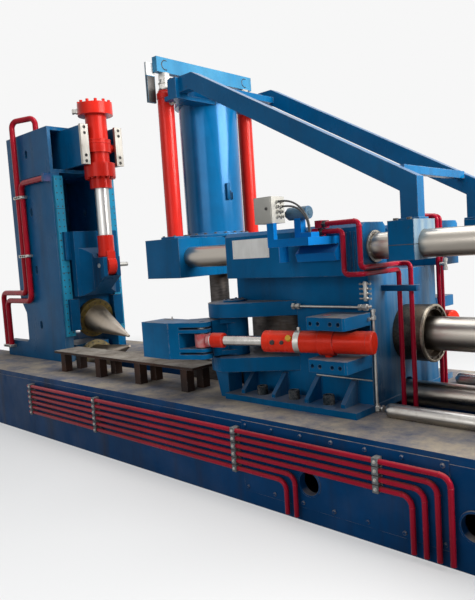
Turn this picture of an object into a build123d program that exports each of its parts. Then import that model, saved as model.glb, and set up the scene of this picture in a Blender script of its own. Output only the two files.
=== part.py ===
from build123d import *
import math
import os

os.makedirs("parts", exist_ok=True)

# Frame: the origin is on the floor below the mandrel axis, on the centre plane.
# +X runs along the bed from the axial stand to the rear yoke, +Y is the far side, +Z is up.

# Bed
bed_height = 700.0
bed_left = -4900.0
bed_right = 4500.0
bed_half_width = 1130.0
channel_half_width = 300.0
bed_top_plate = 60.0
bed_wall = 50.0
bed_base_plate = 60.0
bed_web_pitch = 1180.0
bed_web_count = 7
channel_floor_depth = 420.0
access_hole_radius = 85.0
access_hole_drop = 405.0
access_hole_left = 1926.0
access_hole_pitch = 1190.0
access_rim = 14.0
panel_left = 1290.0
panel_length = 1680.0
panel_drop = 36.0
panel_height = 560.0
panel_thickness = 8.0
bed_lip = 14.0
seat = 0.3
slide_gap = 0.5
run_gap = 0.05

# Bed pipes and their clamps
pipe_radius = 18.0
pipe_pitch = 60.0
pipe_drop = 115.0
pipe_stand_off = 44.0
pipe_bend = 70.0
pipe_left = -2060.0
pipe_short_right = 1740.0
pipe_long_right = 2740.0
pipe_bend_step = 84.0
pipe_foot = 40.0
pipe_count = 6
long_pipe_count = 4
clamp_width = 42.0
clamp_nose = 8.0
clamp_height = 52.0
clamp_left = -2000.0
clamp_second = -700.0
clamp_third = 1240.0
clamp_fourth = 2500.0

# Axial stand
axial_right = -2380.0
axial_half_width = 465.0
cheek_thickness = 120.0
cheek_height = 2400.0
cheek_column_left = -3450.0
cheek_waist_left = -3320.0
cheek_waist_bottom = 220.0
cheek_waist_top = 620.0
cheek_curve_top = 800.0
cheek_fillet = 60.0
cheek_hole_x = -2945.0
cheek_hole_heights = (1955.0, 1200.0, 464.0)
head_hole_height = 2700.0
cheek_hole_height = 110.0
cheek_hole_width = 62.0
cheek_foot_left = -3950.0
axial_back_thickness = 90.0
head_height = 570.0
head_top = cheek_height + head_height
head_wall = 45.0
saddle_depth = 120.0
saddle_right = -2950.0
base_thickness = 60.0
strip_inset = 20.0
strip_thickness = 34.0
strip_bottom = 330.0
strip_lap = 22.0
wing_y = 248.0
wing_thickness = 40.0
axial_pipe_radius = 36.0
axial_pipe_x = -3058.0
axial_pipe_pitch = 108.0
axial_pipe_stand_off = 12.0
axial_pipe_rise = 185.0
axial_pipe_over = 380.0
axial_branch_drop = 60.0
axial_port_length = 50.0
axial_pipe_turn = 790.0
axial_pipe_bend = 90.0
axial_pipe_inset = 90.0
axial_pipe_end = 150.0
axial_clamp_heights = (2160.0, 1390.0)
axial_clamp_margin = 16.0
axial_clamp_thickness = 34.0
bar_right = -1885.0
bar_width = 105.0
bar_thickness = 40.0
bar_hole_radius = 17.0
bar_hole_inset = 38.0
bar_hole_step = 68.0

# Axial cylinder, on the centre plane in front of the slide
axial_cyl_x = -1990.0
axial_flange_radius = 215.0
axial_flange_bottom = 3060.0
axial_flange_top = 3200.0
axial_barrel_radius = 132.0
axial_collar_radius = 160.0
axial_collar_bottom = 2600.0
axial_collar_top = 2760.0
axial_lower_radius = 192.0
axial_lower_bottom = 2300.0
axial_lower_top = 2470.0
axial_gland_radius = 136.0
axial_gland_bottom = 2165.0
axial_trunnion_radius = 45.0
axial_bolt_count = 12
axial_rod_radius = 87.0
axial_sleeve_radius = 100.0
axial_sleeve_top = 1580.0
axial_sleeve_bottom = 1320.0
axial_lug_thickness = 120.0
axial_eye_radius = 130.0
axial_pin_z = 1205.0
axial_pin_radius = 28.0
axial_pin_proud = 6.0
axial_pin_far = 300.0
axial_rod_up_in_barrel = 700.0

# Axial slide and cones
slide_left = -3080.0
slide_front = -2215.0
slide_front_half_width = 262.0
slide_plate_half_width = 320.0
slide_front_bottom = 835.0
slide_ear_right = -1895.0
slide_ear_thickness = 60.0
slide_ear_drop = 138.0
slide_ear_rise = 105.0
slide_ear_gap = 6.0
slide_ear_root = 259.0
slide_ear_flare = 85.0
slide_ear_peak = 235.0
slide_ear_step = 90.0
slide_ear_slope = 120.0
gib_right = -2300.0
gib_outer = 395.0
gib_upper_bottom = 1300.0
gib_lower_top = 800.0
slide_top = 1655.0
slide_bottom = 400.0
slide_wall = 60.0
cone_tip_x = -1600.0
cone_gap = 90.0
cone_pass_z = 250.0
cone_tilt = 16.5
cone_half_angle = 13.3
cone_height = 780.0
cone_nose_radius = 14.0
cone_flange_radius = 256.0
cone_flange_thickness = 62.0
cone_shaft_radius = 120.0
cone_shaft_length = 330.0
cone_house_radius = 215.0
cone_house_length = 360.0
cone_house_gap = 12.0
cone_pocket_gap = 14.0
lower_house_right = -2480.0
lower_house_half = 250.0
lower_house_top = 190.0
lower_house_bottom = -340.0
axial_lift_up = 550.0

# Radial stand, nose and main roll
stand_left = 780.0
stand_right = 2120.0
stand_half_width = 545.0
stand_height = 1045.0
stand_mouth_right = 1440.0
stand_foot_height = 260.0
gusset_height = 230.0
flange_left = 800.0
flange_right = 2130.0
flange_half_width = 805.0
flange_thickness = 50.0
gusset_count = 4
gusset_pitch = 340.0
gusset_first = 950.0
gusset_thickness = 40.0
gusset_toe = 30.0
gusset_reach = 190.0
nut_radius = 47.0
nut_height = 75.0
nut_y = 672.0
pivot_x = 850.0
pivot_y = 670.0
nose_radius = 230.0
nose_thickness = 120.0
nose_lower = stand_foot_height
nose_upper = 720.0
main_roll_x = 950.0
main_roll_radius = 380.0
main_roll_neck_radius = 150.0
main_roll_gap = 40.0
leg_width = 150.0
leg_depth = 170.0
leg_taper = 50.0
leg_fillet = 120.0
ring_radius = 225.0
ring_thickness = 240.0
ring_recess = 60.0
ring_wall = 38.0
ring_bolt_count = 12
main_rod_radius = 133.0
main_rod_z = 535.0
main_rod_left = 1610.0
rod_stop_gap = 10.0
tunnel_gap = 20.0

# Trunnion brackets on the stand
bracket_left = 1785.0
bracket_right = 2125.0
bracket_y = 900.0
bracket_thickness = 95.0
bracket_chamfer = 15.0
bracket_gap = 110.0
bracket_hole_radius = 15.0
bracket_hole_inset = 45.0
bracket_hole_pitch = 68.0
bracket_hole_extra = 40.0
bracket_hole_depth = 40.0
trunnion_x = 1880.0
trunnion_y = 750.0
trunnion_pin_radius = 30.0

# Upper guide housings and the carriage rods
housing_left = 890.0
housing_right = 2235.0
housing_top = 1420.0
housing_front = 775.0
housing_back = 465.0
housing_chamfer = 30.0
tie_rod_y = 620.0
tie_rod_z = 1245.0
tie_rod_radius = 95.0
lower_rod_z = 45.0
lower_rod_radius = 98.0
crosshead_half_length = 285.0
crosshead_bottom = 1060.0
crosshead_top = 1430.0
crosshead_chamfer = 90.0
clamp_block_left = 2430.0
clamp_block_right = 2620.0
clamp_block_bottom = 1140.0
clamp_block_top = 1410.0
yoke_left = 3480.0
yoke_thickness = 380.0
yoke_half_width = 800.0
yoke_top = 1440.0
yoke_bottom = -80.0
yoke_chamfer = 120.0
yoke_rail_gap = 25.0
yoke_rail_clear = 10.0
lower_head_half_length = 290.0
lower_head_top = 205.0
lower_head_bottom = -260.0
carriage_travel_left = 150.0

# Rear rails on the bed
rail_left = 2250.0
rail_right = 4400.0
rail_y = 600.0
rail_radius = 56.0
rail_sink = 10.0

# Mandrel tower
tube_radius = 295.0
tube_inner_radius = 235.0
tube_top = 2870.0
collar_radius = 335.0
collar_thickness = 120.0
lift_y = 555.0
lift_cyl_radius = 78.0
lift_cyl_top = 2820.0
lift_rod_radius = 38.0
crossbar_bottom = 3005.0
crossbar_top = 3145.0
crossbar_half_length = 660.0
crossbar_half_thickness = 32.0
mandrel_radius = 100.0
mandrel_bottom = 60.0
hanger_radius = 215.0
hanger_bottom = 2420.0
hanger_top = 2560.0
lift_bore_floor = 100.0
lift_rod_foot = 120.0

# Brace frame
brace_front = 605.0
brace_width = 100.0
brace_depth = 142.0
brace_left = 262.0
brace_knee = 435.0
brace_top = 2908.0
brace_post_left = 2440.0
brace_post_width = 130.0
brace_bend_top = 1705.0
tie_bar_depth = 60.0
tie_bar_x = 400.0
post_bar_right = 2430.0
post_bar_bottom = 1745.0
mount_block_left = 150.0
mount_half_width = 650.0
mount_plate_left = 95.0
mount_plate_thickness = 40.0
mount_top_drop = 10.0

# Measuring strip that hangs from the near end of the crossbar
strip_scale_front = 735.0
strip_scale_back = 640.0
strip_scale_bottom = 2724.0
strip_scale_top = 3095.0
strip_scale_thickness = 26.0

# Centring arms
arm_mid_z = 550.0
arm_half_height = 155.0
arm_plate = 40.0
ear_plate = 30.0
ear_half_gap = 66.0
eye_pin_x = 790.0
eye_pin_y = 1020.0
eye_pin_radius = 26.0
ear_radius = 78.0
drum_radius = 110.0
drum_pin_radius = 60.0
block_left = 205.0
block_right = 555.0
block_front = 1200.0
block_back = 930.0
block_lap = 20.0
arm_cyl_radius = 85.0
arm_cyl_front = 594.0
arm_cyl_length = 876.0
arm_cyl_tail = 60.0
arm_cyl_collar = 14.0
arm_rod_radius = 42.0
arm_rod_length = 1120.0
arm_sleeve_end = 210.0
arm_sleeve_radius = 60.0
eye_radius = 66.0
eye_slack = 14.0
eye_half_thickness = 56.0
centring_roll_radius = 120.0
roll_pin_radius = 45.0
roll_x = 320.0
roll_y = 985.0
roll_pocket_gap = 15.0
roll_pocket_wall = 40.0
roll_end_gap = 6.0
drum_proud = 10.0
web_width = 90.0
web_end_gap = 24.0

# Support tables
table_left = -2010.0
table_right = 420.0
table_front = 835.0
table_back = 505.0
table_top = 240.0
table_thickness = 26.0
table_leg = 90.0
table_leg_inset = 150.0
table_leg_count = 4

# Bare plate on the near guide housing
plate_left = 975.0
plate_width = 398.0
plate_bottom = 1208.0
plate_height = 156.0
plate_thickness = 3.0

# Sensor bracket, its folded bar, and the control box on its post
shelf_left = 1680.0
shelf_right = 2040.0
shelf_front = 1145.0
shelf_bottom = 1282.0
shelf_thickness = 56.0
shelf_post_width = 60.0
shelf_post_depth = 40.0
shelf_post_height = 117.0
rail_bar_left = 1690.0
rail_bar_reach = 75.0
rail_bar_lip = 25.0
rail_bar_bottom = 1162.0
rail_bar_nose = 1222.0
roller_x = 1622.0
roller_y = 900.0
roller_radius = 36.0
roller_bottom = 1165.0
roller_arm = 24.0
encoder_left = 1700.0
encoder_length = 180.0
encoder_radius = 46.0
encoder_z = 1520.0
encoder_foot = 60.0
box_left = 1570.0
box_right = 1735.0
box_depth = 145.0
box_height = 190.0
gland_first = 45.0
gland_pitch = 36.0
gland_rows = 4
gland_inset = 61.0
gland_column_pitch = 44.0
gland_radius = 11.0
gland_length = 16.0

# The two cables from the box to the sensor block on the shelf
cable_radius = 7.0
cable_corner_share = 0.45
outer_cable_route = [
    (1751.0, -1084.0, 1608.0),
    (1829.0, -1084.0, 1608.0),
    (1912.0, -1077.0, 1572.0),
    (1971.0, -1067.0, 1506.0),
    (1996.0, -1060.0, 1434.0),
    (1996.0, -1060.0, 1372.0),
]
inner_cable_route = [
    (1751.0, -1040.0, 1572.0),
    (1820.0, -1040.0, 1572.0),
    (1889.0, -1033.0, 1545.0),
    (1935.0, -1022.0, 1489.0),
    (1956.0, -1016.0, 1428.0),
    (1956.0, -1016.0, 1372.0),
]
sensor_block_height = 34.0
sensor_block_margin = 26.0

# Housing pipes: a pair on the near side of the ring and a pair on the far side
feed_y = 850.0
feed_left = 1930.0
feed_step = 30.0
feed_height = 1372.0
feed_height_step = 56.0
feed_first_drop = 2120.0
feed_x = 2256.0
feed_run_height = 1060.0
feed_run_step = 45.0
feed_down_y = 330.0
feed_down_x_step = 96.0
feed_bend = 36.0
feed_block = 54.0
feed_block_length = 55.0
feed_bar_bottom = 900.0
feed_bar_height = 42.0
feed_bar_depth = 66.0
far_feed_left = 2160.0
far_feed_pitch = 60.0
far_feed_height = 1458.0


def up(z):
    return bed_height + z


def box(x0, x1, y0, y1, z0, z1):
    return Pos((x0 + x1) / 2, (y0 + y1) / 2, (z0 + z1) / 2) * Box(x1 - x0, y1 - y0, z1 - z0)


def rod_x(radius, x0, x1, y, z):
    return Pos((x0 + x1) / 2, y, z) * Rot(0, 90, 0) * Cylinder(radius, x1 - x0)


def rod_y(radius, y0, y1, x, z):
    return Pos(x, (y0 + y1) / 2, z) * Rot(90, 0, 0) * Cylinder(radius, y1 - y0)


def rod_z(radius, z0, z1, x, y):
    return Pos(x, y, (z0 + z1) / 2) * Cylinder(radius, z1 - z0)


def slab_xz(points, y0, y1):
    sheet = Plane.XZ * make_face(Polyline(*points, close=True))
    return Pos(0, y1, 0) * extrude(sheet, y1 - y0)


def slab_yz(points, x0, x1):
    sheet = Plane.YZ * make_face(Polyline(*points, close=True))
    return Pos(x0, 0, 0) * extrude(sheet, x1 - x0)


def slab_xy(points, z0, z1):
    return Pos(0, 0, z0) * extrude(make_face(Polyline(*points, close=True)), z1 - z0)


def pipe(points, radius, bend):
    path = FilletPolyline(*points, radius=bend)
    return sweep(Plane(path @ 0, z_dir=path % 0) * Circle(radius), path=path)


def far(shape):
    return mirror(shape, Plane.XZ)


def both(shape):
    return shape + far(shape)


def oval_hole(x, z, y0, y1):
    slot = SlotOverall(cheek_hole_height, cheek_hole_width, rotation=90)
    return Pos(x, y1, z) * Rot(90, 0, 0) * extrude(slot, y1 - y0)


def save(shape, name):
    shape.label = name
    export_step(shape, "parts/" + name + ".step")


# Bed: two long box girders tied by cross webs, with an open guide channel between them
girder = box(bed_left, bed_right, -bed_half_width, -channel_half_width, 0, bed_height)
cell = box(bed_left + bed_wall, bed_right - bed_wall, bed_wall - bed_half_width, -channel_half_width - bed_wall,
           bed_base_plate, bed_height - bed_top_plate)
girder = girder - cell
web_first = (bed_left + bed_right) / 2 - bed_web_pitch * (bed_web_count - 1) / 2
for index in range(bed_web_count):
    web_x = web_first + index * bed_web_pitch
    girder += box(web_x - bed_wall / 2, web_x + bed_wall / 2, bed_wall - bed_half_width - 1,
                  1 - channel_half_width - bed_wall, bed_base_plate - 1, bed_height - bed_top_plate + 1)
for index in range(2):
    hole_x = access_hole_left + index * access_hole_pitch
    rim = rod_y(access_hole_radius + access_rim, -bed_half_width - bed_lip, 1 - bed_half_width, hole_x,
                up(-access_hole_drop))
    bore = rod_y(access_hole_radius, -bed_half_width - 2 * bed_lip, bed_wall + 1 - bed_half_width, hole_x,
                 up(-access_hole_drop))
    girder = girder + rim - bore
girder += box(panel_left, panel_left + panel_length, -bed_half_width - panel_thickness, 1 - bed_half_width,
              up(-panel_drop - panel_height), up(-panel_drop)) - rod_y(
    access_hole_radius + access_rim, -bed_half_width - 2 * bed_lip, 2 - bed_half_width, access_hole_left,
    up(-access_hole_drop))
channel_floor = box(bed_left, bed_right, -channel_half_width, channel_half_width,
                    up(-channel_floor_depth) - bed_wall, up(-channel_floor_depth))
for end_x in (bed_left, bed_right - bed_wall):
    channel_floor += box(end_x, end_x + bed_wall, -channel_half_width, channel_half_width, 0,
                         up(-channel_floor_depth))
channel_floor += box(bed_left, bed_right, -channel_half_width, channel_half_width, 0, bed_base_plate)
save(girder, "near_girder")
save(far(girder), "far_girder")
save(channel_floor, "channel_floor")

# Bed pipes: six in a rack on the front face, two turn down early and four near the right end
pipe_y = -bed_half_width - pipe_stand_off
pipes = []
for index in range(pipe_count):
    pipe_z = up(-pipe_drop - index * pipe_pitch)
    if index < long_pipe_count:
        drop_x = pipe_long_right + (long_pipe_count - 1 - index) * pipe_bend_step
    else:
        drop_x = pipe_short_right + (pipe_count - 1 - index) * pipe_bend_step
    run = [(pipe_left, pipe_y, pipe_z), (drop_x, pipe_y, pipe_z), (drop_x, pipe_y, pipe_foot)]
    pipes.append(pipe(run, pipe_radius, pipe_bend))
save(Compound(children=pipes), "bed_pipes")

clamps = []
for clamp_x, count in ((clamp_left, pipe_count), (clamp_second, pipe_count), (clamp_third, pipe_count),
                       (clamp_fourth, long_pipe_count)):
    clamp_back = -bed_half_width - (panel_thickness if clamp_x > panel_left else 0)
    for index in range(count):
        clamp_z = up(-pipe_drop - index * pipe_pitch)
        body = box(clamp_x - clamp_width / 2, clamp_x + clamp_width / 2, pipe_y - pipe_radius - clamp_nose,
                   clamp_back, clamp_z - clamp_height / 2, clamp_z + clamp_height / 2)
        clamps.append(body - rod_x(pipe_radius + seat, clamp_x - clamp_width, clamp_x + clamp_width, pipe_y, clamp_z))
save(Compound(children=clamps), "pipe_clamps")

# Rear rails: polished round bars sunk a little into the bed top
rails = both(rod_x(rail_radius, rail_left + rail_radius, rail_right, -rail_y, up(rail_radius - rail_sink))
             + Pos(rail_left + rail_radius, -rail_y, up(rail_radius - rail_sink)) * Sphere(rail_radius))
rails -= box(rail_left - 1, rail_right + 1, -bed_half_width, bed_half_width, up(-rail_radius), up(0))
save(rails, "rear_rails")

# Axial stand: two profiled cheeks tied by a base saddle and a back plate
cheek_line = [
    (cheek_foot_left, up(slide_gap)),
    (axial_right, up(slide_gap)),
    (axial_right, up(cheek_height)),
    (cheek_column_left, up(cheek_height)),
    (cheek_column_left, up(cheek_curve_top)),
    (cheek_waist_left, up(cheek_waist_top)),
    (cheek_waist_left, up(cheek_waist_bottom)),
    (cheek_foot_left, up(cheek_waist_bottom)),
]
cheek_inner = axial_half_width - cheek_thickness
cheek = slab_xz(cheek_line, -axial_half_width, -cheek_inner)
cheek_corners = cheek.edges().filter_by(Axis.Y)
cheek_corners = cheek_corners.filter_by_position(Axis.X, cheek_column_left - 1, cheek_waist_left + 1)
cheek_corners = cheek_corners.filter_by_position(Axis.Z, up(cheek_waist_bottom) - 1, up(cheek_curve_top) + 1)
cheek = fillet(cheek_corners, cheek_fillet)
for hole_z in cheek_hole_heights:
    cheek -= oval_hole(cheek_hole_x, up(hole_z), -axial_half_width, -cheek_inner)
stand = both(cheek)
stand += box(cheek_foot_left, saddle_right, -cheek_inner - 1, cheek_inner + 1, up(slide_gap), up(base_thickness))
stand += box(cheek_foot_left, saddle_right, slide_gap - channel_half_width, channel_half_width - slide_gap,
             up(-saddle_depth), up(base_thickness))
stand += box(cheek_column_left, cheek_column_left + axial_back_thickness, -cheek_inner - 1, cheek_inner + 1,
             up(cheek_waist_top), up(cheek_height))
save(stand, "axial_cheeks")

# Axial head: a box across the top of the cheeks, open to the front, with two wing plates for the cylinder
head = box(cheek_column_left, axial_right, -axial_half_width, axial_half_width, up(cheek_height), up(head_top))
head -= box(cheek_column_left + head_wall, axial_right + 1, head_wall - axial_half_width,
            axial_half_width - head_wall, up(cheek_height + head_wall), up(head_top - head_wall))
wing = box(cheek_column_left + head_wall - 1, bar_right - bar_thickness, -wing_y - wing_thickness / 2,
           wing_thickness / 2 - wing_y, up(cheek_height + head_wall), up(head_top - head_wall))
head += both(wing)
head -= both(oval_hole(cheek_hole_x, up(head_hole_height), -axial_half_width, head_wall - axial_half_width))
save(head, "axial_head")

bar_bottom = cheek_height + head_wall
bar_top = head_top - head_wall
bar = box(bar_right - bar_thickness, bar_right, -wing_y - bar_width / 2, bar_width / 2 - wing_y, up(bar_bottom),
          up(bar_top))
for bar_z in (bar_bottom + bar_hole_inset, bar_bottom + bar_hole_inset + bar_hole_step,
              bar_top - bar_hole_inset, bar_top - bar_hole_inset - bar_hole_step):
    bar -= rod_x(bar_hole_radius, bar_right - bar_thickness - 1, bar_right + 1, -wing_y, up(bar_z))
save(both(bar), "mounting_bars")

# Guide strips bolted on the front edges of the cheeks; they lap over the slide's flanges
strip = box(axial_right, axial_right + strip_thickness, strip_inset - axial_half_width, strip_lap - cheek_inner,
            up(strip_bottom), up(cheek_height - 2 * strip_inset))
save(both(strip), "guide_strips")

# Cones: both lie on the centre plane and face each other across the pass line
cone_base_radius = cone_height * math.tan(math.radians(cone_half_angle))
nose_height = cone_nose_radius / math.tan(math.radians(cone_half_angle))
shaft_start = cone_height + cone_flange_thickness
cone_line = [
    (0, nose_height),
    (cone_nose_radius, nose_height),
    (cone_base_radius, cone_height),
    (cone_flange_radius, cone_height),
    (cone_flange_radius, shaft_start),
    (cone_shaft_radius, shaft_start),
    (cone_shaft_radius, shaft_start + cone_shaft_length),
    (0, shaft_start + cone_shaft_length),
]
cone_sheet = Plane.XZ * make_face(Polyline(*cone_line, close=True))
cone_body = revolve(cone_sheet, Axis.Z)
upper_place = Pos(cone_tip_x, 0, up(cone_pass_z + cone_gap / 2)) * Rot(0, cone_tilt - 90, 0)
lower_place = Pos(cone_tip_x, 0, up(cone_pass_z - cone_gap / 2)) * Rot(0, -90 - cone_tilt, 0)
save(upper_place * cone_body, "upper_cone")
save(lower_place * cone_body, "lower_cone")

# Spindle housings behind the cones
house_start = shaft_start + cone_house_gap
house = Pos(0, 0, house_start + cone_house_length / 2) * Cylinder(cone_house_radius, cone_house_length)
house_bore_length = cone_shaft_length - cone_house_gap + 5
house_bore = Pos(0, 0, house_start + house_bore_length / 2 - 0.5) * Cylinder(cone_shaft_radius + run_gap,
                                                                            house_bore_length + 1)

lower_house = box(saddle_right, lower_house_right, -lower_house_half, lower_house_half, up(lower_house_bottom),
                  up(lower_house_top))
lower_house += box(saddle_right, lower_house_right, -cheek_inner, cheek_inner, up(slide_gap), up(base_thickness))
lower_house = lower_house + lower_place * house
lower_house -= box(lower_house_right, cone_tip_x, -channel_half_width, channel_half_width,
                   up(-channel_floor_depth), up(slide_top))
lower_house -= lower_place * (Pos(0, 0, house_start / 2) * Cylinder(cone_flange_radius + cone_pocket_gap,
                                                                   house_start))
lower_house -= box(cheek_foot_left, saddle_right, -axial_half_width, axial_half_width, up(-channel_floor_depth),
                   up(cheek_waist_top))
lower_house -= lower_place * house_bore
save(lower_house, "lower_cone_housing")

# Axial slide: a box between the cheeks with a flat front plate, two flared ears and a pocket for the cone
slide_inner_half = cheek_inner - slide_gap
slide_back_right = axial_right - slide_gap
slide = box(slide_left, slide_back_right, -slide_inner_half, slide_inner_half, up(slide_bottom), up(slide_top))
slide -= box(slide_left - 1, slide_back_right - slide_wall, slide_wall - slide_inner_half,
             slide_inner_half - slide_wall, up(slide_front_bottom + slide_wall), up(slide_top - slide_wall))
slide += box(slide_back_right - 1, gib_right, -slide_front_half_width, slide_front_half_width,
             up(slide_front_bottom), up(slide_top))
slide += box(gib_right - 1, slide_front, -slide_plate_half_width, slide_plate_half_width, up(slide_front_bottom),
             up(slide_top))
for gib_low, gib_high in ((slide_bottom, gib_lower_top), (gib_upper_bottom, slide_top)):
    gib = box(slide_back_right - 1, gib_right, -gib_outer, 1 - slide_front_half_width, up(gib_low), up(gib_high))
    gib -= box(slide_back_right - 1, axial_right + strip_thickness + slide_gap, -gib_outer - 1,
               -cheek_inner + strip_lap + slide_gap, up(gib_low) - 1, up(gib_high) + 1)
    slide += both(gib)
ear_inner = axial_lug_thickness / 2 + slide_ear_gap
ear_outer = ear_inner + slide_ear_thickness
ear_plan = [
    (slide_front - 1, -slide_ear_root),
    (slide_front, -slide_ear_root),
    (slide_front + slide_ear_flare, -ear_outer),
    (slide_ear_right, -ear_outer),
]
ear_plan = ear_plan + [(x, -y) for x, y in reversed(ear_plan)]
ear_top = axial_pin_z + slide_ear_rise
ear_side = [
    (slide_front - 2, up(slide_front_bottom)),
    (slide_front, up(slide_front_bottom)),
    (slide_ear_right, up(axial_pin_z - slide_ear_drop)),
    (slide_ear_right, up(ear_top)),
    (axial_cyl_x - slide_ear_step, up(ear_top)),
    (axial_cyl_x - slide_ear_step - slide_ear_slope, up(axial_pin_z + slide_ear_peak)),
    (slide_front - 2, up(axial_pin_z + slide_ear_peak)),
]
ears = slab_xy(ear_plan, up(slide_front_bottom), up(axial_pin_z + slide_ear_peak))
ears &= slab_xz(ear_side, -slide_ear_root - 1, slide_ear_root + 1)
slot_bottom = axial_pin_z - axial_eye_radius - slide_ear_gap
ears -= box(axial_cyl_x - axial_eye_radius - slide_ear_gap, slide_ear_right + 1, -ear_inner, ear_inner,
            up(slot_bottom), up(slide_top))
slide += ears
slide -= rod_y(axial_pin_radius + seat, -slide_front_half_width, slide_front_half_width, axial_cyl_x,
               up(axial_pin_z))
slide -= upper_place * (Pos(0, 0, house_start / 2) * Cylinder(cone_flange_radius + cone_pocket_gap, house_start))
slide -= upper_place * house_bore
save(slide, "axial_slide")

# Axial cylinder: a stepped barrel with bolted flanges and two trunnions between the wing plates
barrel_line = [
    (0, axial_flange_top),
    (axial_flange_radius, axial_flange_top),
    (axial_flange_radius, axial_flange_bottom),
    (axial_barrel_radius, axial_flange_bottom),
    (axial_barrel_radius, axial_collar_top),
    (axial_collar_radius, axial_collar_top),
    (axial_collar_radius, axial_collar_bottom),
    (axial_barrel_radius, axial_collar_bottom),
    (axial_barrel_radius, axial_lower_top),
    (axial_lower_radius, axial_lower_top),
    (axial_lower_radius, axial_lower_bottom),
    (axial_gland_radius, axial_lower_bottom),
    (axial_gland_radius, axial_gland_bottom),
    (0, axial_gland_bottom),
]
barrel = Pos(axial_cyl_x, 0, bed_height) * revolve(Plane.XZ * make_face(Polyline(*barrel_line, close=True)), Axis.Z)
barrel += rod_y(axial_trunnion_radius, wing_thickness / 2 - wing_y, wing_y - wing_thickness / 2, axial_cyl_x,
                up((axial_collar_bottom + axial_collar_top) / 2))
for index in range(axial_bolt_count):
    turn = math.radians(index * 360 / axial_bolt_count)
    bolt_x = axial_cyl_x + (axial_flange_radius - 22) * math.cos(turn)
    bolt_y = (axial_flange_radius - 22) * math.sin(turn)
    barrel += Pos(bolt_x, bolt_y, up(axial_flange_top + 10)) * extrude(RegularPolygon(19, 6), 22, both=True)
barrel -= rod_z(axial_rod_radius + run_gap, up(axial_gland_bottom) - 1,
                up(axial_sleeve_top + axial_rod_up_in_barrel + axial_lift_up + 20), axial_cyl_x, 0)
save(barrel, "axial_cylinder")

axial_rod = rod_z(axial_rod_radius, up(axial_sleeve_top), up(axial_sleeve_top + axial_rod_up_in_barrel),
                  axial_cyl_x, 0)
save(axial_rod, "axial_rod")
lug = rod_z(axial_sleeve_radius, up(axial_sleeve_bottom), up(axial_sleeve_top), axial_cyl_x, 0)
lug_half = axial_lug_thickness / 2
lug += rod_y(axial_eye_radius, -lug_half, lug_half, axial_cyl_x, up(axial_pin_z))
lug += box(axial_cyl_x - axial_sleeve_radius, axial_cyl_x + axial_sleeve_radius, -lug_half, lug_half,
           up(axial_pin_z), up(axial_sleeve_bottom) + 60)
lug -= rod_y(axial_pin_radius + seat, -axial_lug_thickness, axial_lug_thickness, axial_cyl_x, up(axial_pin_z))
save(lug, "axial_rod_eye")
save(rod_y(axial_pin_radius, -ear_outer - axial_pin_proud, axial_pin_far, axial_cyl_x, up(axial_pin_z)), "axial_pin")

# Red pipes on the near cheek: one goes over the head, the other comes in below it, and both turn down at the foot
axial_pipe_y = -axial_half_width - axial_pipe_radius - axial_pipe_stand_off
over_x = axial_pipe_x - axial_pipe_pitch
pipe_end_x = cheek_foot_left + axial_pipe_inset
top_run = [
    (over_x + axial_pipe_over, -axial_half_width + axial_pipe_radius + head_wall, up(head_top)),
    (over_x + axial_pipe_over, -axial_half_width + axial_pipe_radius + head_wall, up(head_top + axial_pipe_rise)),
    (over_x, axial_pipe_y, up(head_top + axial_pipe_rise)),
    (over_x, axial_pipe_y, up(axial_pipe_turn + axial_pipe_pitch)),
    (pipe_end_x, axial_pipe_y, up(axial_pipe_turn + axial_pipe_pitch)),
    (pipe_end_x, axial_pipe_y, up(axial_pipe_end)),
]
branch_run = [
    (axial_right - axial_port_length, axial_pipe_y, up(cheek_height - axial_branch_drop)),
    (axial_pipe_x, axial_pipe_y, up(cheek_height - axial_branch_drop)),
    (axial_pipe_x, axial_pipe_y, up(axial_pipe_turn)),
    (pipe_end_x + axial_pipe_pitch, axial_pipe_y, up(axial_pipe_turn)),
    (pipe_end_x + axial_pipe_pitch, axial_pipe_y, up(axial_pipe_end)),
]
axial_pipes = [pipe(run, axial_pipe_radius, axial_pipe_bend) for run in (top_run, branch_run)]
clamp_reach = axial_pipe_radius + axial_clamp_margin
clamp_places = [(over_x, clamp_z) for clamp_z in axial_clamp_heights] + [(pipe_end_x, axial_pipe_end)]
for clamp_x, clamp_z in clamp_places:
    clamp = box(clamp_x - clamp_reach, clamp_x + axial_pipe_pitch + clamp_reach,
                axial_pipe_y - axial_pipe_radius - clamp_nose, -axial_half_width,
                up(clamp_z - axial_clamp_thickness / 2), up(clamp_z + axial_clamp_thickness / 2))
    for clamp_pipe_x in (clamp_x, clamp_x + axial_pipe_pitch):
        clamp -= rod_z(axial_pipe_radius + seat, up(clamp_z - axial_clamp_thickness),
                       up(clamp_z + axial_clamp_thickness), clamp_pipe_x, axial_pipe_y)
    axial_pipes.append(clamp)
branch_z = cheek_height - axial_branch_drop
axial_pipes.append(box(axial_right - axial_port_length, axial_right, axial_pipe_y - clamp_reach, -axial_half_width,
                       up(branch_z - clamp_reach), up(branch_z + clamp_reach)))
save(Compound(children=axial_pipes), "axial_pipes")

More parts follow.
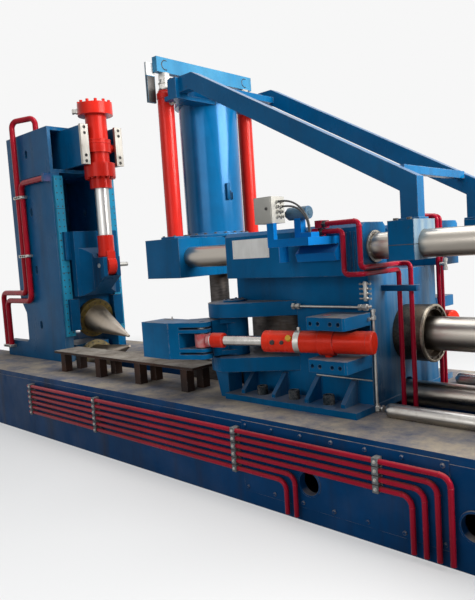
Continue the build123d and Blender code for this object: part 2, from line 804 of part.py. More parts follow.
# Radial stand: a deep block with a mouth for the main roll, on a wide bolted flange with gussets
stand_line = [
    (stand_left, up(flange_thickness) - 1),
    (stand_right, up(flange_thickness) - 1),
    (stand_right, up(stand_height)),
    (stand_left, up(stand_height)),
    (stand_left, up(nose_upper + nose_thickness)),
    (stand_mouth_right, up(nose_upper + nose_thickness)),
    (stand_mouth_right, up(stand_foot_height)),
    (stand_left, up(stand_foot_height)),
]
radial = slab_xz(stand_line, -stand_half_width, stand_half_width)
radial += box(flange_left, flange_right, -flange_half_width, flange_half_width, up(0), up(flange_thickness))
for index in range(gusset_count):
    gusset_x = gusset_first + index * gusset_pitch
    gusset_line = [
        (1 - stand_half_width, up(flange_thickness) - 1),
        (-stand_half_width - gusset_reach, up(flange_thickness) - 1),
        (-stand_half_width - gusset_reach, up(flange_thickness) + gusset_toe),
        (-stand_half_width - gusset_toe, up(gusset_height)),
        (1 - stand_half_width, up(gusset_height)),
    ]
    radial += both(slab_yz(gusset_line, gusset_x - gusset_thickness / 2, gusset_x + gusset_thickness / 2))
tunnel_radius = lower_rod_radius + tunnel_gap
radial -= rod_x(tunnel_radius, stand_left - 1, flange_right + 1, 0, up(lower_rod_z))
radial -= box(stand_left - 1, flange_right + 1, -tunnel_radius, tunnel_radius, up(-1), up(lower_rod_z))
rod_stop = main_rod_left - carriage_travel_left - rod_stop_gap
radial -= rod_x(main_rod_radius + run_gap, rod_stop, stand_right + 1, 0, up(main_rod_z))
save(radial, "radial_stand")

nuts = []
for index in range(gusset_count - 1):
    nut_x = gusset_first + (index + 0.5) * gusset_pitch
    nut = rod_z(nut_radius, up(flange_thickness), up(flange_thickness + nut_height), nut_x, -nut_y)
    nuts.append(nut)
    nuts.append(far(nut))
save(Compound(children=nuts), "anchor_nuts")

# Nose plates: one above and one below the main roll, rounded around the two arm pivots and tapered to the stand
nose_edges = [Pos(pivot_x, side * pivot_y) * Circle(nose_radius).edge() for side in (-1, 1)]
nose_edges.append(Line((stand_mouth_right, -stand_half_width), (stand_mouth_right, stand_half_width)))
nose_outline = make_hull(nose_edges)


def nose_plate(bottom):
    plate = Pos(0, 0, up(bottom)) * extrude(nose_outline, nose_thickness)
    plate -= both(rod_z(drum_pin_radius, up(bottom) - 1, up(bottom + nose_thickness) + 1, pivot_x, -pivot_y))
    plate -= rod_z(main_roll_neck_radius, up(bottom) - 1, up(bottom + nose_thickness) + 1, main_roll_x, 0)
    return plate


save(nose_plate(nose_lower), "lower_nose")
save(nose_plate(nose_upper), "upper_nose")
leg_right = flange_left
leg_left = leg_right - leg_width
leg_line = [
    (leg_left + leg_taper, up(0)),
    (leg_right, up(0)),
    (leg_right, up(nose_lower)),
    (leg_left, up(nose_lower)),
    (leg_left, up(nose_lower - leg_taper)),
]
leg = slab_xz(leg_line, -pivot_y - leg_depth / 2, leg_depth / 2 - pivot_y)
leg = fillet(leg.edges().filter_by(Axis.Y).group_by(Axis.X)[0].sort_by(Axis.Z)[0], leg_fillet)
save(both(leg), "nose_legs")
save(both(rod_z(drum_pin_radius, up(nose_lower), up(nose_upper + nose_thickness), pivot_x, -pivot_y)), "pivot_pins")
roll = rod_z(main_roll_radius, up(nose_lower + nose_thickness + main_roll_gap), up(nose_upper - main_roll_gap),
             main_roll_x, 0)
roll += rod_z(main_roll_neck_radius, up(nose_lower), up(nose_upper + nose_thickness), main_roll_x, 0)
save(roll, "main_roll")

# Main cylinder ring on the rear face of the stand
ring_right = stand_right + ring_thickness
ring = rod_x(ring_radius, stand_right, ring_right, 0, up(main_rod_z))
ring -= rod_x(main_rod_radius + run_gap, stand_right - 1, ring_right + 1, 0, up(main_rod_z))
ring -= rod_x(ring_radius - ring_wall, ring_right - ring_recess, ring_right + 1, 0, up(main_rod_z))
for index in range(ring_bolt_count):
    turn = math.radians((index + 0.5) * 360 / ring_bolt_count)
    bolt_y = (ring_radius - ring_wall / 2) * math.cos(turn)
    bolt_z = up(main_rod_z) + (ring_radius - ring_wall / 2) * math.sin(turn)
    ring += Pos(ring_right, bolt_y, bolt_z) * Rot(0, 90, 0) * extrude(RegularPolygon(14, 6), 10, both=True)
save(ring, "cylinder_ring")

# Trunnion brackets: two stout plates on each side of the stand
brackets = box(bracket_left, bracket_right, -bracket_y, -stand_half_width,
               up(arm_mid_z - bracket_gap - bracket_thickness), up(arm_mid_z - bracket_gap))
brackets += box(bracket_left, bracket_right, -bracket_y, -stand_half_width,
                up(arm_mid_z + bracket_gap), up(arm_mid_z + bracket_gap + bracket_thickness))
brackets = chamfer(brackets.edges().filter_by(Axis.Z).group_by(Axis.Y)[0], bracket_chamfer)
brackets -= rod_z(trunnion_pin_radius + run_gap, up(0), up(stand_height), trunnion_x, -trunnion_y)
for index in range(4):
    hole_x = bracket_left + bracket_hole_inset + index * bracket_hole_pitch + (index > 1) * bracket_hole_extra
    for hole_z in (arm_mid_z - bracket_gap - bracket_thickness / 2, arm_mid_z + bracket_gap + bracket_thickness / 2):
        brackets -= rod_y(bracket_hole_radius, -bracket_y - 1, bracket_hole_depth - bracket_y, hole_x, up(hole_z))
save(both(brackets), "trunnion_brackets")

# Guide housings: two long sleeves on top of the stand that carry the upper tie rods
housing = box(housing_left, housing_right, -housing_front, -housing_back, up(stand_height), up(housing_top))
housing = chamfer(housing.edges().filter_by(Axis.X).group_by(Axis.Z)[-1], housing_chamfer)
housing -= rod_x(tie_rod_radius + run_gap, housing_left - 1, housing_right + 1, -tie_rod_y, up(tie_rod_z))
save(both(housing), "guide_housings")

# Mandrel carriage: crosshead, tie rods, clamp blocks, rear yoke, lower rod and lower crosshead
head_length = crosshead_half_length
crosshead = box(-head_length, head_length, -housing_front, housing_front, up(crosshead_bottom), up(crosshead_top))
crosshead = chamfer(crosshead.edges().filter_by(Axis.Z).group_by(Axis.X)[0], crosshead_chamfer)
crosshead -= rod_z(mandrel_radius + tunnel_gap / 2, up(crosshead_bottom) - 1, up(crosshead_top) + 1, 0, 0)
save(crosshead, "crosshead")
save(both(rod_x(tie_rod_radius, head_length, yoke_left, -tie_rod_y, up(tie_rod_z))), "tie_rods")
save(rod_x(main_rod_radius, main_rod_left, yoke_left, 0, up(main_rod_z)), "main_rod")
save(rod_x(lower_rod_radius, lower_head_half_length, yoke_left, 0, up(lower_rod_z)), "lower_rod")

block = box(clamp_block_left, clamp_block_right, -housing_front, -housing_back, up(clamp_block_bottom),
            up(clamp_block_top))
block -= rod_x(tie_rod_radius + seat, clamp_block_left - 1, clamp_block_right + 1, -tie_rod_y, up(tie_rod_z))
save(both(block), "clamp_blocks")

yoke_right = yoke_left + yoke_thickness
rail_clear = rail_y - rail_radius - yoke_rail_gap
yoke_line = [
    (channel_half_width - slide_gap, up(yoke_bottom)),
    (channel_half_width - slide_gap, up(slide_gap)),
    (rail_clear, up(slide_gap)),
    (rail_clear, up(2 * rail_radius + yoke_rail_clear)),
    (yoke_half_width, up(2 * rail_radius + yoke_rail_clear)),
    (yoke_half_width, up(yoke_top - yoke_chamfer)),
    (yoke_half_width - yoke_chamfer, up(yoke_top)),
]
yoke_line = yoke_line + [(-y, z) for y, z in reversed(yoke_line)]
save(slab_yz(yoke_line, yoke_left, yoke_right), "rear_yoke")

lower_head = box(-lower_head_half_length, lower_head_half_length, slide_gap - channel_half_width,
                 channel_half_width - slide_gap, up(lower_head_bottom), up(lower_head_top))
lower_head -= rod_z(mandrel_radius + run_gap, up(mandrel_bottom - 20), up(lower_head_top) + 1, 0, 0)
save(lower_head, "lower_crosshead")

# Mandrel tower: outer tube with its collar, two lift cylinders
tube = rod_z(tube_radius, up(crosshead_top), up(tube_top - collar_thickness), 0, 0)
tube += rod_z(collar_radius, up(tube_top - collar_thickness), up(tube_top), 0, 0)
tube -= rod_z(tube_inner_radius, up(crosshead_top) - 1, up(tube_top) + 1, 0, 0)
save(tube, "mandrel_tube")
lift_cylinder = rod_z(lift_cyl_radius, up(crosshead_top), up(lift_cyl_top), 0, -lift_y)
lift_cylinder -= rod_z(lift_rod_radius + run_gap, up(crosshead_top + lift_bore_floor), up(lift_cyl_top) + 1, 0,
                       -lift_y)
save(both(lift_cylinder), "lift_cylinders")

# Mandrel lift: crossbar, two rods, hanger and mandrel
beam = box(-crossbar_half_thickness, crossbar_half_thickness, -crossbar_half_length, crossbar_half_length,
           up(crossbar_bottom), up(crossbar_top))
scale = box(-crossbar_half_thickness - strip_scale_thickness, -crossbar_half_thickness, -strip_scale_front,
            -strip_scale_back, up(strip_scale_bottom), up(strip_scale_top))
save(Compound(children=[beam, scale]), "crossbar")
save(both(rod_z(lift_rod_radius, up(crosshead_top + lift_rod_foot), up(crossbar_bottom), 0, -lift_y)), "lift_rods")
hanger = rod_z(hanger_radius, up(hanger_bottom), up(hanger_top), 0, 0)
save(hanger + rod_z(mandrel_radius, up(mandrel_bottom), up(crossbar_bottom), 0, 0), "mandrel")

# Brace frame: two bent box struts from the tube collar down to the clamp blocks
brace_post_right = brace_post_left + brace_post_width
brace_fall = math.atan2(brace_top - brace_bend_top, brace_post_right - brace_knee)
brace_rise_depth = brace_depth / math.cos(brace_fall)
knee_inner = brace_knee - brace_depth * math.tan(brace_fall / 2)
bend_inner = brace_bend_top + brace_post_width * math.tan(brace_fall) - brace_rise_depth
brace_line = [
    (brace_left, up(brace_top)),
    (brace_knee, up(brace_top)),
    (brace_post_right, up(brace_bend_top)),
    (brace_post_right, up(clamp_block_top)),
    (brace_post_left, up(clamp_block_top)),
    (brace_post_left, up(bend_inner)),
    (knee_inner, up(brace_top - brace_depth)),
    (brace_left, up(brace_top - brace_depth)),
]
brace = slab_xz(brace_line, -brace_front, brace_width - brace_front)
brace_inner = brace_front - brace_width
braces = both(brace)
tie_bar_low = up(brace_top - brace_depth)
braces += box(tie_bar_x, tie_bar_x + tie_bar_depth, -brace_inner - 1, brace_inner + 1, tie_bar_low,
              tie_bar_low + tie_bar_depth)
braces += box(post_bar_right - tie_bar_depth, post_bar_right, -brace_inner - 1, brace_inner + 1,
              up(post_bar_bottom), up(post_bar_bottom + tie_bar_depth))
save(braces, "brace_frame")
plate_low = up(tube_top - collar_thickness) - mount_plate_thickness
brace_mount = box(mount_plate_left, brace_left, -mount_half_width, mount_half_width, plate_low,
                  up(tube_top - collar_thickness))
brace_mount -= rod_z(tube_radius + seat, plate_low - 1, up(tube_top), 0, 0)
brace_mount += both(box(mount_block_left, brace_left, -mount_half_width, -brace_inner,
                        up(tube_top - collar_thickness) - 1, up(brace_top - mount_top_drop)))
brace_mount -= rod_z(collar_radius + seat, up(tube_top - collar_thickness), up(tube_top) + 1, 0, 0)
save(brace_mount, "brace_mount")

# Centring arms: a drum on the pivot pin, four plates that form a fork for the rod eye, webs and a roll block
block_x = (block_left + block_right) / 2
block_y = (block_front + block_back) / 2
arm_angle = math.degrees(math.atan2(pivot_y - block_y, block_x - pivot_x))
arm_place = Pos(pivot_x, -pivot_y, up(arm_mid_z)) * Rot(0, 0, arm_angle)


def in_arm(x, y):
    place = arm_place.inverse() * Location((x, y, up(arm_mid_z)))
    return place.position.X, place.position.Y


ear_place = in_arm(eye_pin_x, -eye_pin_y)
ear_reach = math.hypot(*ear_place)
ear_turn = math.degrees(math.atan2(ear_place[1], ear_place[0]))
front_corner = in_arm(block_right - block_lap, -block_front)
back_corner = in_arm(block_right - block_lap, -block_back)
ear_edge = Pos(*ear_place) * Circle(ear_radius).edge()
drum_edge = Circle(drum_radius).edge()
block_edge = Line(front_corner, back_corner)
ear_plate_face = make_hull([ear_edge, block_edge])
drum_plate_face = make_hull([drum_edge, block_edge])
between_face = make_face(Polyline((0, 0), ear_place, front_corner, back_corner, close=True))
outer_plate = drum_plate_face + ear_plate_face + between_face
arm = Cylinder(drum_radius, 2 * (arm_half_height + drum_proud))
for plate_low in (-arm_half_height, arm_half_height - arm_plate):
    arm += Pos(0, 0, plate_low) * extrude(outer_plate, arm_plate)
for plate_low in (-ear_half_gap - ear_plate, ear_half_gap):
    arm += Pos(0, 0, plate_low) * extrude(ear_plate_face, ear_plate)
ear_web_length = ear_reach - eye_radius - web_end_gap
arm += Rot(0, 0, ear_turn) * Pos(ear_web_length / 2, 0, 0) * Box(ear_web_length, arm_plate, 2 * arm_half_height)
arm += Rot(0, 0, math.degrees(math.atan2(back_corner[1], back_corner[0]))) * Pos(
    math.hypot(*back_corner) / 2, 0, 0) * Box(math.hypot(*back_corner), arm_plate, 2 * arm_half_height)
arm -= Cylinder(drum_pin_radius + run_gap, 3 * arm_half_height)
arm = arm_place * arm
front_web = arm_place * Pos(0, 0, -arm_half_height) * extrude(ear_plate_face, 2 * arm_half_height)
front_web &= box(block_right - 1, block_right + web_width, -block_front, -block_back, up(0), up(stand_height))
arm += front_web
arm += box(block_left, block_right, -block_front, -block_back, up(arm_mid_z - arm_half_height),
           up(arm_mid_z + arm_half_height))
arm -= rod_z(eye_pin_radius + seat, up(0), up(stand_height), eye_pin_x, -eye_pin_y)
roll_place = Pos(roll_x, -roll_y, up(arm_mid_z))
roll_pocket = 2 * (arm_half_height - roll_pocket_wall)
arm -= roll_place * Cylinder(centring_roll_radius + roll_pocket_gap, roll_pocket)
arm -= roll_place * Cylinder(roll_pin_radius, 2 * arm_half_height)
save(arm, "near_arm")
save(far(arm), "far_arm")
centring_roll = roll_place * Cylinder(centring_roll_radius, roll_pocket - 2 * roll_end_gap)
centring_roll += roll_place * Cylinder(roll_pin_radius, 2 * arm_half_height)
save(centring_roll, "near_centring_roll")
save(far(centring_roll), "far_centring_roll")
eye_pin = rod_z(eye_pin_radius, up(arm_mid_z - ear_half_gap - ear_plate), up(arm_mid_z + ear_half_gap + ear_plate),
                eye_pin_x, -eye_pin_y)
save(eye_pin, "near_eye_pin")
save(far(eye_pin), "far_eye_pin")

# Arm cylinders swing on trunnion pins between the brackets; their rods push the ears
cylinder_angle = math.degrees(math.atan2(eye_pin_y - trunnion_y, trunnion_x - eye_pin_x))
cylinder_place = Pos(eye_pin_x, -eye_pin_y, up(arm_mid_z)) * Rot(0, 0, cylinder_angle)
trunnion_reach = math.hypot(trunnion_x - eye_pin_x, trunnion_y - eye_pin_y)


def along(radius, start, end):
    return cylinder_place * Pos((start + end) / 2, 0, 0) * Rot(0, 90, 0) * Cylinder(radius, end - start)


arm_cylinder = along(arm_cyl_radius, arm_cyl_front, arm_cyl_front + arm_cyl_length)
arm_cylinder += along(arm_cyl_radius + arm_cyl_collar, trunnion_reach - arm_cyl_tail, trunnion_reach + arm_cyl_tail)
arm_cylinder += rod_z(trunnion_pin_radius, up(arm_mid_z - bracket_gap - bracket_thickness),
                      up(arm_mid_z + bracket_gap + bracket_thickness), trunnion_x, -trunnion_y)
arm_cylinder -= along(arm_rod_radius + run_gap, arm_cyl_front - 1, arm_cyl_front + arm_cyl_length - arm_cyl_tail)
save(arm_cylinder, "near_arm_cylinder")
save(far(arm_cylinder), "far_arm_cylinder")

arm_rod = along(arm_rod_radius, eye_radius - 4, arm_rod_length)
arm_rod += along(arm_sleeve_radius, eye_radius - 6, arm_sleeve_end)
arm_rod += cylinder_place * Cylinder(eye_radius, 2 * eye_half_thickness)
arm_rod -= cylinder_place * Cylinder(eye_pin_radius + eye_slack, 3 * eye_half_thickness)
save(arm_rod, "near_arm_rod")
save(far(arm_rod), "far_arm_rod")

# Support tables on legs, on both sides of the channel
tables = box(table_left, table_right, -table_front, -table_back, up(table_top - table_thickness), up(table_top))
leg_pitch = (table_right - table_left - 2 * table_leg_inset) / (table_leg_count - 1)
for index in range(table_leg_count):
    leg_x = table_left + table_leg_inset + index * leg_pitch
    for leg_y in (-table_front + table_leg / 2 + 20, -table_back - table_leg / 2 - 20):
        tables += box(leg_x - table_leg / 2, leg_x + table_leg / 2, leg_y - table_leg / 2, leg_y + table_leg / 2,
                      up(0), up(table_top - table_thickness) + 1)
save(both(tables), "support_tables")

# Bare plate on the near guide housing
save(box(plate_left, plate_left + plate_width, -housing_front - plate_thickness, -housing_front, up(plate_bottom),
         up(plate_bottom + plate_height)), "name_plate")

# Sensor bracket: a shelf with a post, a folded bar below it, a roller, an encoder and the sensor block
shelf_top = up(shelf_bottom + shelf_thickness)
shelf = box(shelf_left, shelf_right, -shelf_front, -housing_front, up(shelf_bottom), shelf_top)
shelf += box(shelf_left, shelf_left + shelf_post_width, -shelf_front, shelf_post_depth - shelf_front, shelf_top - 1,
             shelf_top + shelf_post_height)
encoder_y = -roller_y
shelf += rod_x(encoder_radius, encoder_left, encoder_left + encoder_length, encoder_y, up(encoder_z))
shelf += box(encoder_left + encoder_foot, encoder_left + 2 * encoder_foot, encoder_y - encoder_foot / 2,
             encoder_y + encoder_foot / 2, shelf_top - 1, up(encoder_z))
folded_line = [
    (-housing_front, up(rail_bar_bottom)),
    (rail_bar_lip - housing_front - rail_bar_reach, up(rail_bar_bottom)),
    (-housing_front - rail_bar_reach, up(rail_bar_nose)),
    (-housing_front, up(shelf_bottom)),
]
shelf += slab_yz(folded_line, rail_bar_left, shelf_right)
shelf += rod_z(roller_radius, up(roller_bottom), up(shelf_bottom) + 1, roller_x, -roller_y)
shelf += box(roller_x, shelf_left + 1, -roller_y - roller_arm, roller_arm - roller_y, up(shelf_bottom), shelf_top)

# Control box: a plain steel case on the post, with two columns of cable glands on its right side
box_bottom = shelf_top + shelf_post_height
control_box = box(box_left, box_right, -shelf_front, box_depth - shelf_front, box_bottom, box_bottom + box_height)
for column in range(2):
    for row in range(gland_rows):
        control_box += rod_x(gland_radius, box_right - 1, box_right + gland_length,
                             gland_inset + column * gland_column_pitch - shelf_front,
                             box_bottom + gland_first + row * gland_pitch)
save(control_box, "control_box")

# Cables: out of the two top glands, over and down into the sensor block
block_top = shelf_top + sensor_block_height


def corner_radii(points):
    radii = []
    for before, corner, after in zip(points, points[1:], points[2:]):
        arriving = Vector(*corner) - Vector(*before)
        leaving = Vector(*after) - Vector(*corner)
        half_turn = math.radians(arriving.get_angle(leaving) / 2)
        radii.append(cable_corner_share * min(arriving.length, leaving.length) / math.tan(half_turn))
    return radii


for name, route in (("outer_cable", outer_cable_route), ("inner_cable", inner_cable_route)):
    cable_points = [(x, y, up(z)) for x, y, z in route]
    print(name, [round(radius) for radius in corner_radii(cable_points)])
    save(pipe(cable_points, cable_radius, corner_radii(cable_points)), name)
cable_ends = (outer_cable_route[-1], inner_cable_route[-1])
shelf += box(cable_ends[1][0] - sensor_block_margin, cable_ends[0][0] + sensor_block_margin,
             cable_ends[0][1] - sensor_block_margin, cable_ends[1][1] + sensor_block_margin, shelf_top - 1, block_top)
save(shelf, "sensor_bracket")

# Housing pipes: each near pipe leaves a port block, drops behind the housing and runs in beside the ring
feeds = []
for index in range(2):
    feed_z = up(feed_height + index * feed_height_step)
    run_z = up(feed_run_height + index * feed_run_step)
    port_x = feed_left + index * feed_step
    drop_x = feed_x if index else feed_first_drop
    down_x = feed_x + index * feed_down_x_step
    run = [(port_x, -feed_y, feed_z), (drop_x, -feed_y, feed_z), (drop_x, -feed_y, run_z)]
    if index == 0:
        run.append((feed_x, -feed_y, run_z))
    run.append((feed_x, -feed_down_y, run_z))
    if index == 1:
        run.append((down_x, -feed_down_y, run_z))
    run.append((down_x, -feed_down_y, up(0)))
    feeds.append(pipe(run, pipe_radius, feed_bend))
    feeds.append(box(port_x - feed_block_length, port_x, -feed_y - feed_block / 2, -housing_front,
                     feed_z - feed_block / 2, feed_z + feed_block / 2))
    far_y = feed_down_y + index * far_feed_pitch
    far_z = up(far_feed_height)
    feeds.append(pipe([(far_feed_left, far_y, far_z), (feed_x, far_y, far_z), (feed_x, far_y, up(0))], pipe_radius,
                      feed_bend))
feed_bar = box(stand_right, feed_x + feed_down_x_step + feed_block, -feed_down_y - feed_bar_depth / 2,
               feed_bar_depth / 2 - feed_down_y, up(feed_bar_bottom), up(feed_bar_bottom + feed_bar_height))
for down_x in (feed_x, feed_x + feed_down_x_step):
    feed_bar -= rod_z(pipe_radius + seat, up(feed_bar_bottom) - 1, up(feed_bar_bottom + feed_bar_height) + 1, down_x,
                      -feed_down_y)
feeds.append(feed_bar)
far_block = box(far_feed_left - feed_block_length, far_feed_left, feed_down_y - feed_block / 2,
                housing_back + feed_block, up(housing_top), up(far_feed_height + feed_block / 2))
feeds.append(far_block)
save(Compound(children=feeds), "housing_pipes")
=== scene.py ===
import math
import bpy
from mathutils import Euler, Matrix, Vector


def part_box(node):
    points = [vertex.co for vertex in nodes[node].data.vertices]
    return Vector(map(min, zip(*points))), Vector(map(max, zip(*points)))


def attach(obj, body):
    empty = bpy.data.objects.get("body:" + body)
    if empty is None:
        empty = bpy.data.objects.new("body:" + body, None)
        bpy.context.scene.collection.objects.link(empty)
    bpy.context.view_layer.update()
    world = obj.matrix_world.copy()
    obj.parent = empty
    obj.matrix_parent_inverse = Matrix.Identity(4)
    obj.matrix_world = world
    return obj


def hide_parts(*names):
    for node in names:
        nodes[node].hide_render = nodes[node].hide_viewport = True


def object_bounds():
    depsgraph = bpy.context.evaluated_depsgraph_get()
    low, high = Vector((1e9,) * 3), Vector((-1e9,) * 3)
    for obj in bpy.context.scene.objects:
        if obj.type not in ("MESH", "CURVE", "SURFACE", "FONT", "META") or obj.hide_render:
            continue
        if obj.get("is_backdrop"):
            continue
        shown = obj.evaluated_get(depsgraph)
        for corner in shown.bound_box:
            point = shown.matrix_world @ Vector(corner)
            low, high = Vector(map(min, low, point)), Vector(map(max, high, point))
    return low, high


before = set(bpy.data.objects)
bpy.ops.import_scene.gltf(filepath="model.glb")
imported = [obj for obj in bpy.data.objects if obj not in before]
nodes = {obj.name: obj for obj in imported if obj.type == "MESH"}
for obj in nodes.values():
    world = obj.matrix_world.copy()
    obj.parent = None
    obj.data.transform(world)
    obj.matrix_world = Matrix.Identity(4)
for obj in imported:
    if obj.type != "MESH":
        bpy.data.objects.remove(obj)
cad_low, cad_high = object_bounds()

# Bed girders and channel floor
# Two welded box girders in blue enamel on a steel base, flame cut and welded along every edge.
# Years of dust lie on the top plate, and the near face has run marks and scuffs.


def feed(tree, target, inputs):
    for key, value in inputs.items():
        socket = target.inputs[key]
        if isinstance(value, bpy.types.NodeSocket):
            tree.links.new(value, socket)
        elif isinstance(value, tuple) and socket.type == "RGBA":
            socket.default_value = (*value, 1.0)
        else:
            socket.default_value = value


def add(tree, kind, inputs=None, **settings):
    made = tree.nodes.new("ShaderNode" + kind)
    for key, value in settings.items():
        setattr(made, key, value)
    feed(tree, made, inputs or {})
    return made


def new_finish(name):
    material = bpy.data.materials.new(name)
    material.use_nodes = True
    tree = material.node_tree
    return material, tree, tree.nodes["Principled BSDF"]


def object_place(tree):
    return add(tree, "TexCoord").outputs["Object"]


def pattern(tree, scale, stretch=(1, 1, 1), detail=4.0, roughness=0.6):
    mapping = add(tree, "Mapping", {"Scale": stretch, "Vector": object_place(tree)})
    noise = add(tree, "TexNoise", {"Scale": scale, "Detail": detail, "Roughness": roughness,
        "Vector": mapping.outputs["Vector"]})
    return noise.outputs["Fac"]


def between(tree, value, low, high, out_low=0.0, out_high=1.0):
    return add(tree, "MapRange", {"Value": value, "From Min": low, "From Max": high, "To Min": out_low,
        "To Max": out_high}).outputs["Result"]


def cloud(tree, levels, *shape, **more):
    return between(tree, pattern(tree, *shape, **more), *levels)


def calc(tree, first, second, operation="MULTIPLY"):
    return add(tree, "Math", {0: first, 1: second}, operation=operation, use_clamp=True).outputs[0]


def blend(tree, amount, under, over):
    return add(tree, "Mix", {0: amount, 6: under, 7: over}, data_type="RGBA").outputs[2]


def facing(tree, axis):
    geometry = add(tree, "NewGeometry")
    return add(tree, "SeparateXYZ", {"Vector": geometry.outputs["Normal"]}).outputs[axis]


def worn_edges(tree, radius):
    bevel = add(tree, "Bevel", {"Radius": radius}, samples=6)
    geometry = add(tree, "NewGeometry")
    dot = add(tree, "VectorMath", {0: bevel.outputs["Normal"], 1: geometry.outputs["Normal"]},
        operation="DOT_PRODUCT")
    return bevel.outputs["Normal"], between(tree, dot.outputs["Value"], 0.995, 0.88)


def bumped(tree, height, normal, strength, distance):
    return add(tree, "Bump", {"Height": height, "Normal": normal, "Strength": strength,
        "Distance": distance}).outputs["Normal"]


dust_tan = (0.36, 0.285, 0.20)
grime = (0.022, 0.020, 0.018)
bare_steel = (0.30, 0.29, 0.28)
# Pale grey for painted sheen in streaks on faces toward the window lamp.
sheen_grey = (0.25, 0.30, 0.30)
rust_chip = (0.055, 0.030, 0.020)


def enamel(name, colour, shade, dust=0.5, streaks=0.5, wear=0.6, gloss=0.30, edge=0.006, shine=0.16,
        window_sheen=0.0, dust_colour=dust_tan, tinted=0.75):
    material, tree, shader = new_finish(name)
    broad = cloud(tree, (0.38, 0.62), 1.1, detail=5.0)
    mottle = cloud(tree, (0.35, 0.7, 0.0, 0.55), 7.0, detail=6.0)
    tone = blend(tree, broad, shade, colour)
    tone = blend(tree, mottle, tone, tuple(c * 0.72 for c in colour))
    runs = cloud(tree, (0.52, 0.74, 0.0, streaks), 5.0, (1, 1, 0.09), 5.0)
    upright = between(tree, calc(tree, facing(tree, "Z"), 1.0, "ABSOLUTE"), 0.7, 0.2)
    tone = blend(tree, calc(tree, runs, upright), tone, grime)
    settled = between(tree, facing(tree, "Z"), 0.6, 0.95)
    patches = cloud(tree, (0.34, 0.62, 0.25, 1.0), 3.2, detail=7.0, roughness=0.7)
    film = calc(tree, calc(tree, settled, patches), dust)
    haze = cloud(tree, (0.5, 0.8, 0.0, dust * 0.05), 2.3, detail=6.0)
    cover = calc(tree, film, haze, "ADD")
    tone = blend(tree, cover, tone, dust_colour)
    # Pale grey streaks only on faces toward the window lamp: painted sheen.
    if window_sheen:
        window_side = between(tree, facing(tree, "X"), 0.75, 0.95)
        sheen_streaks = cloud(tree, (0.55 - 0.3 * window_sheen, 0.68, 0.0, window_sheen), 4.0, (1, 1, 0.10), 6.0, 0.7)
        tone = blend(tree, calc(tree, sheen_streaks, window_side), tone, sheen_grey)
    rounded, rim = worn_edges(tree, edge)
    rubbed = cloud(tree, (0.44, 0.60, 0.0, wear), 11.0, detail=7.0, roughness=0.7)
    chips = cloud(tree, (0.655, 0.68, 0.0, wear), 16.0, detail=8.0, roughness=0.75)
    tone = blend(tree, chips, tone, rust_chip)
    tone = blend(tree, calc(tree, rim, rubbed), tone, bare_steel)
    smear = cloud(tree, (0.3, 0.75, gloss * 0.75, gloss * 1.6), 4.0, (1, 1, 0.4), 6.0)
    ripple = calc(tree, pattern(tree, 26.0, detail=3.0), cloud(tree, (0.0, 1.0), 3.0), "ADD")
    feed(tree, shader, {
        "Base Color": tone,
        "Roughness": calc(tree, smear, calc(tree, cover, 0.55), "ADD"),
        "Normal": bumped(tree, ripple, rounded, 0.10, 0.004),
        "Specular IOR Level": shine,
        "Specular Tint": tuple(1.0 - tinted + tinted * c / max(colour) for c in colour),
    })
    return material


def dress(material, *names):
    for name in names:
        nodes[name].data.materials.clear()
        nodes[name].data.materials.append(material)


along, across, up = Vector((1, 0, 0)), Vector((0, 1, 0)), Vector((0, 0, 1))


def edit(action):
    bpy.ops.object.mode_set(mode="EDIT")
    bpy.ops.mesh.select_all(action=action)


def leave():
    bpy.ops.object.mode_set(mode="OBJECT")


def let_go():
    if bpy.context.object and bpy.context.object.mode != "OBJECT":
        leave()
    bpy.ops.object.select_all(action="DESELECT")


def take(*pieces):
    let_go()
    for piece in pieces:
        piece.select_set(True)
    bpy.context.view_layer.objects.active = pieces[0]


def join_pieces(made):
    take(*made)
    if len(made) > 1:
        bpy.ops.object.join()
    bpy.ops.object.transform_apply()
    return made[0]


def finish(made, name, material, body, smooth=35):
    piece = join_pieces(made if isinstance(made, list) else [made])
    piece.name = piece.data.name = name
    piece.data.materials.clear()
    piece.data.materials.append(material)
    bpy.ops.object.shade_smooth_by_angle(angle=math.radians(smooth))
    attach(piece, body)
    return piece


def block(low, high, round_off=0.002):
    let_go()
    bpy.ops.mesh.primitive_cube_add(size=1, location=(Vector(low) + Vector(high)) / 2)
    piece = bpy.context.object
    piece.scale = [abs(end - start) for start, end in zip(low, high)]
    bpy.ops.object.transform_apply()
    edit("SELECT")
    bpy.ops.mesh.bevel(offset=round_off, segments=2, affect="EDGES")
    leave()
    return piece


def aim(piece, place, direction):
    piece.location = place
    piece.rotation_euler = up.rotation_difference(Vector(direction)).to_euler()


def turned(steps, foot=(0, 0, 0), direction=up, sides=32):
    let_go()
    bpy.ops.mesh.primitive_circle_add(vertices=sides, radius=steps[0][0], fill_type="NGON",
        location=(0, 0, 0))
    piece = bpy.context.object
    edit("SELECT")
    bpy.ops.transform.translate(value=(0, 0, steps[0][1]))
    for (radius, height), (next_radius, next_height) in zip(steps, steps[1:]):
        bpy.ops.mesh.extrude_region_move(TRANSFORM_OT_translate={"value": (0, 0, next_height - height)})
        share = next_radius / radius
        bpy.ops.transform.resize(value=(share, share, 1))
    bpy.ops.mesh.select_all(action="SELECT")
    bpy.ops.mesh.remove_doubles(threshold=0.00001)
    bpy.ops.mesh.normals_make_consistent(inside=False)
    leave()
    aim(piece, foot, direction)
    return piece


def hex_bolt(radius):
    head = turned([(radius, radius * 0.25), (radius, radius * 0.8), (radius * 0.9, radius * 0.95)], sides=6)
    washer = turned([(radius * 1.25, 0), (radius * 1.25, radius * 0.2), (radius * 1.15, radius * 0.27)],
        sides=18)
    return join_pieces([head, washer])


def repeat(template, places):
    made = []
    for spot, direction in places:
        take(template)
        bpy.ops.object.duplicate()
        aim(bpy.context.object, spot, direction)
        made.append(bpy.context.object)
    bpy.data.objects.remove(template)
    return join_pieces(made)


def evenly(first, last, count):
    return [first + (last - first) * index / (count - 1) for index in range(count)]


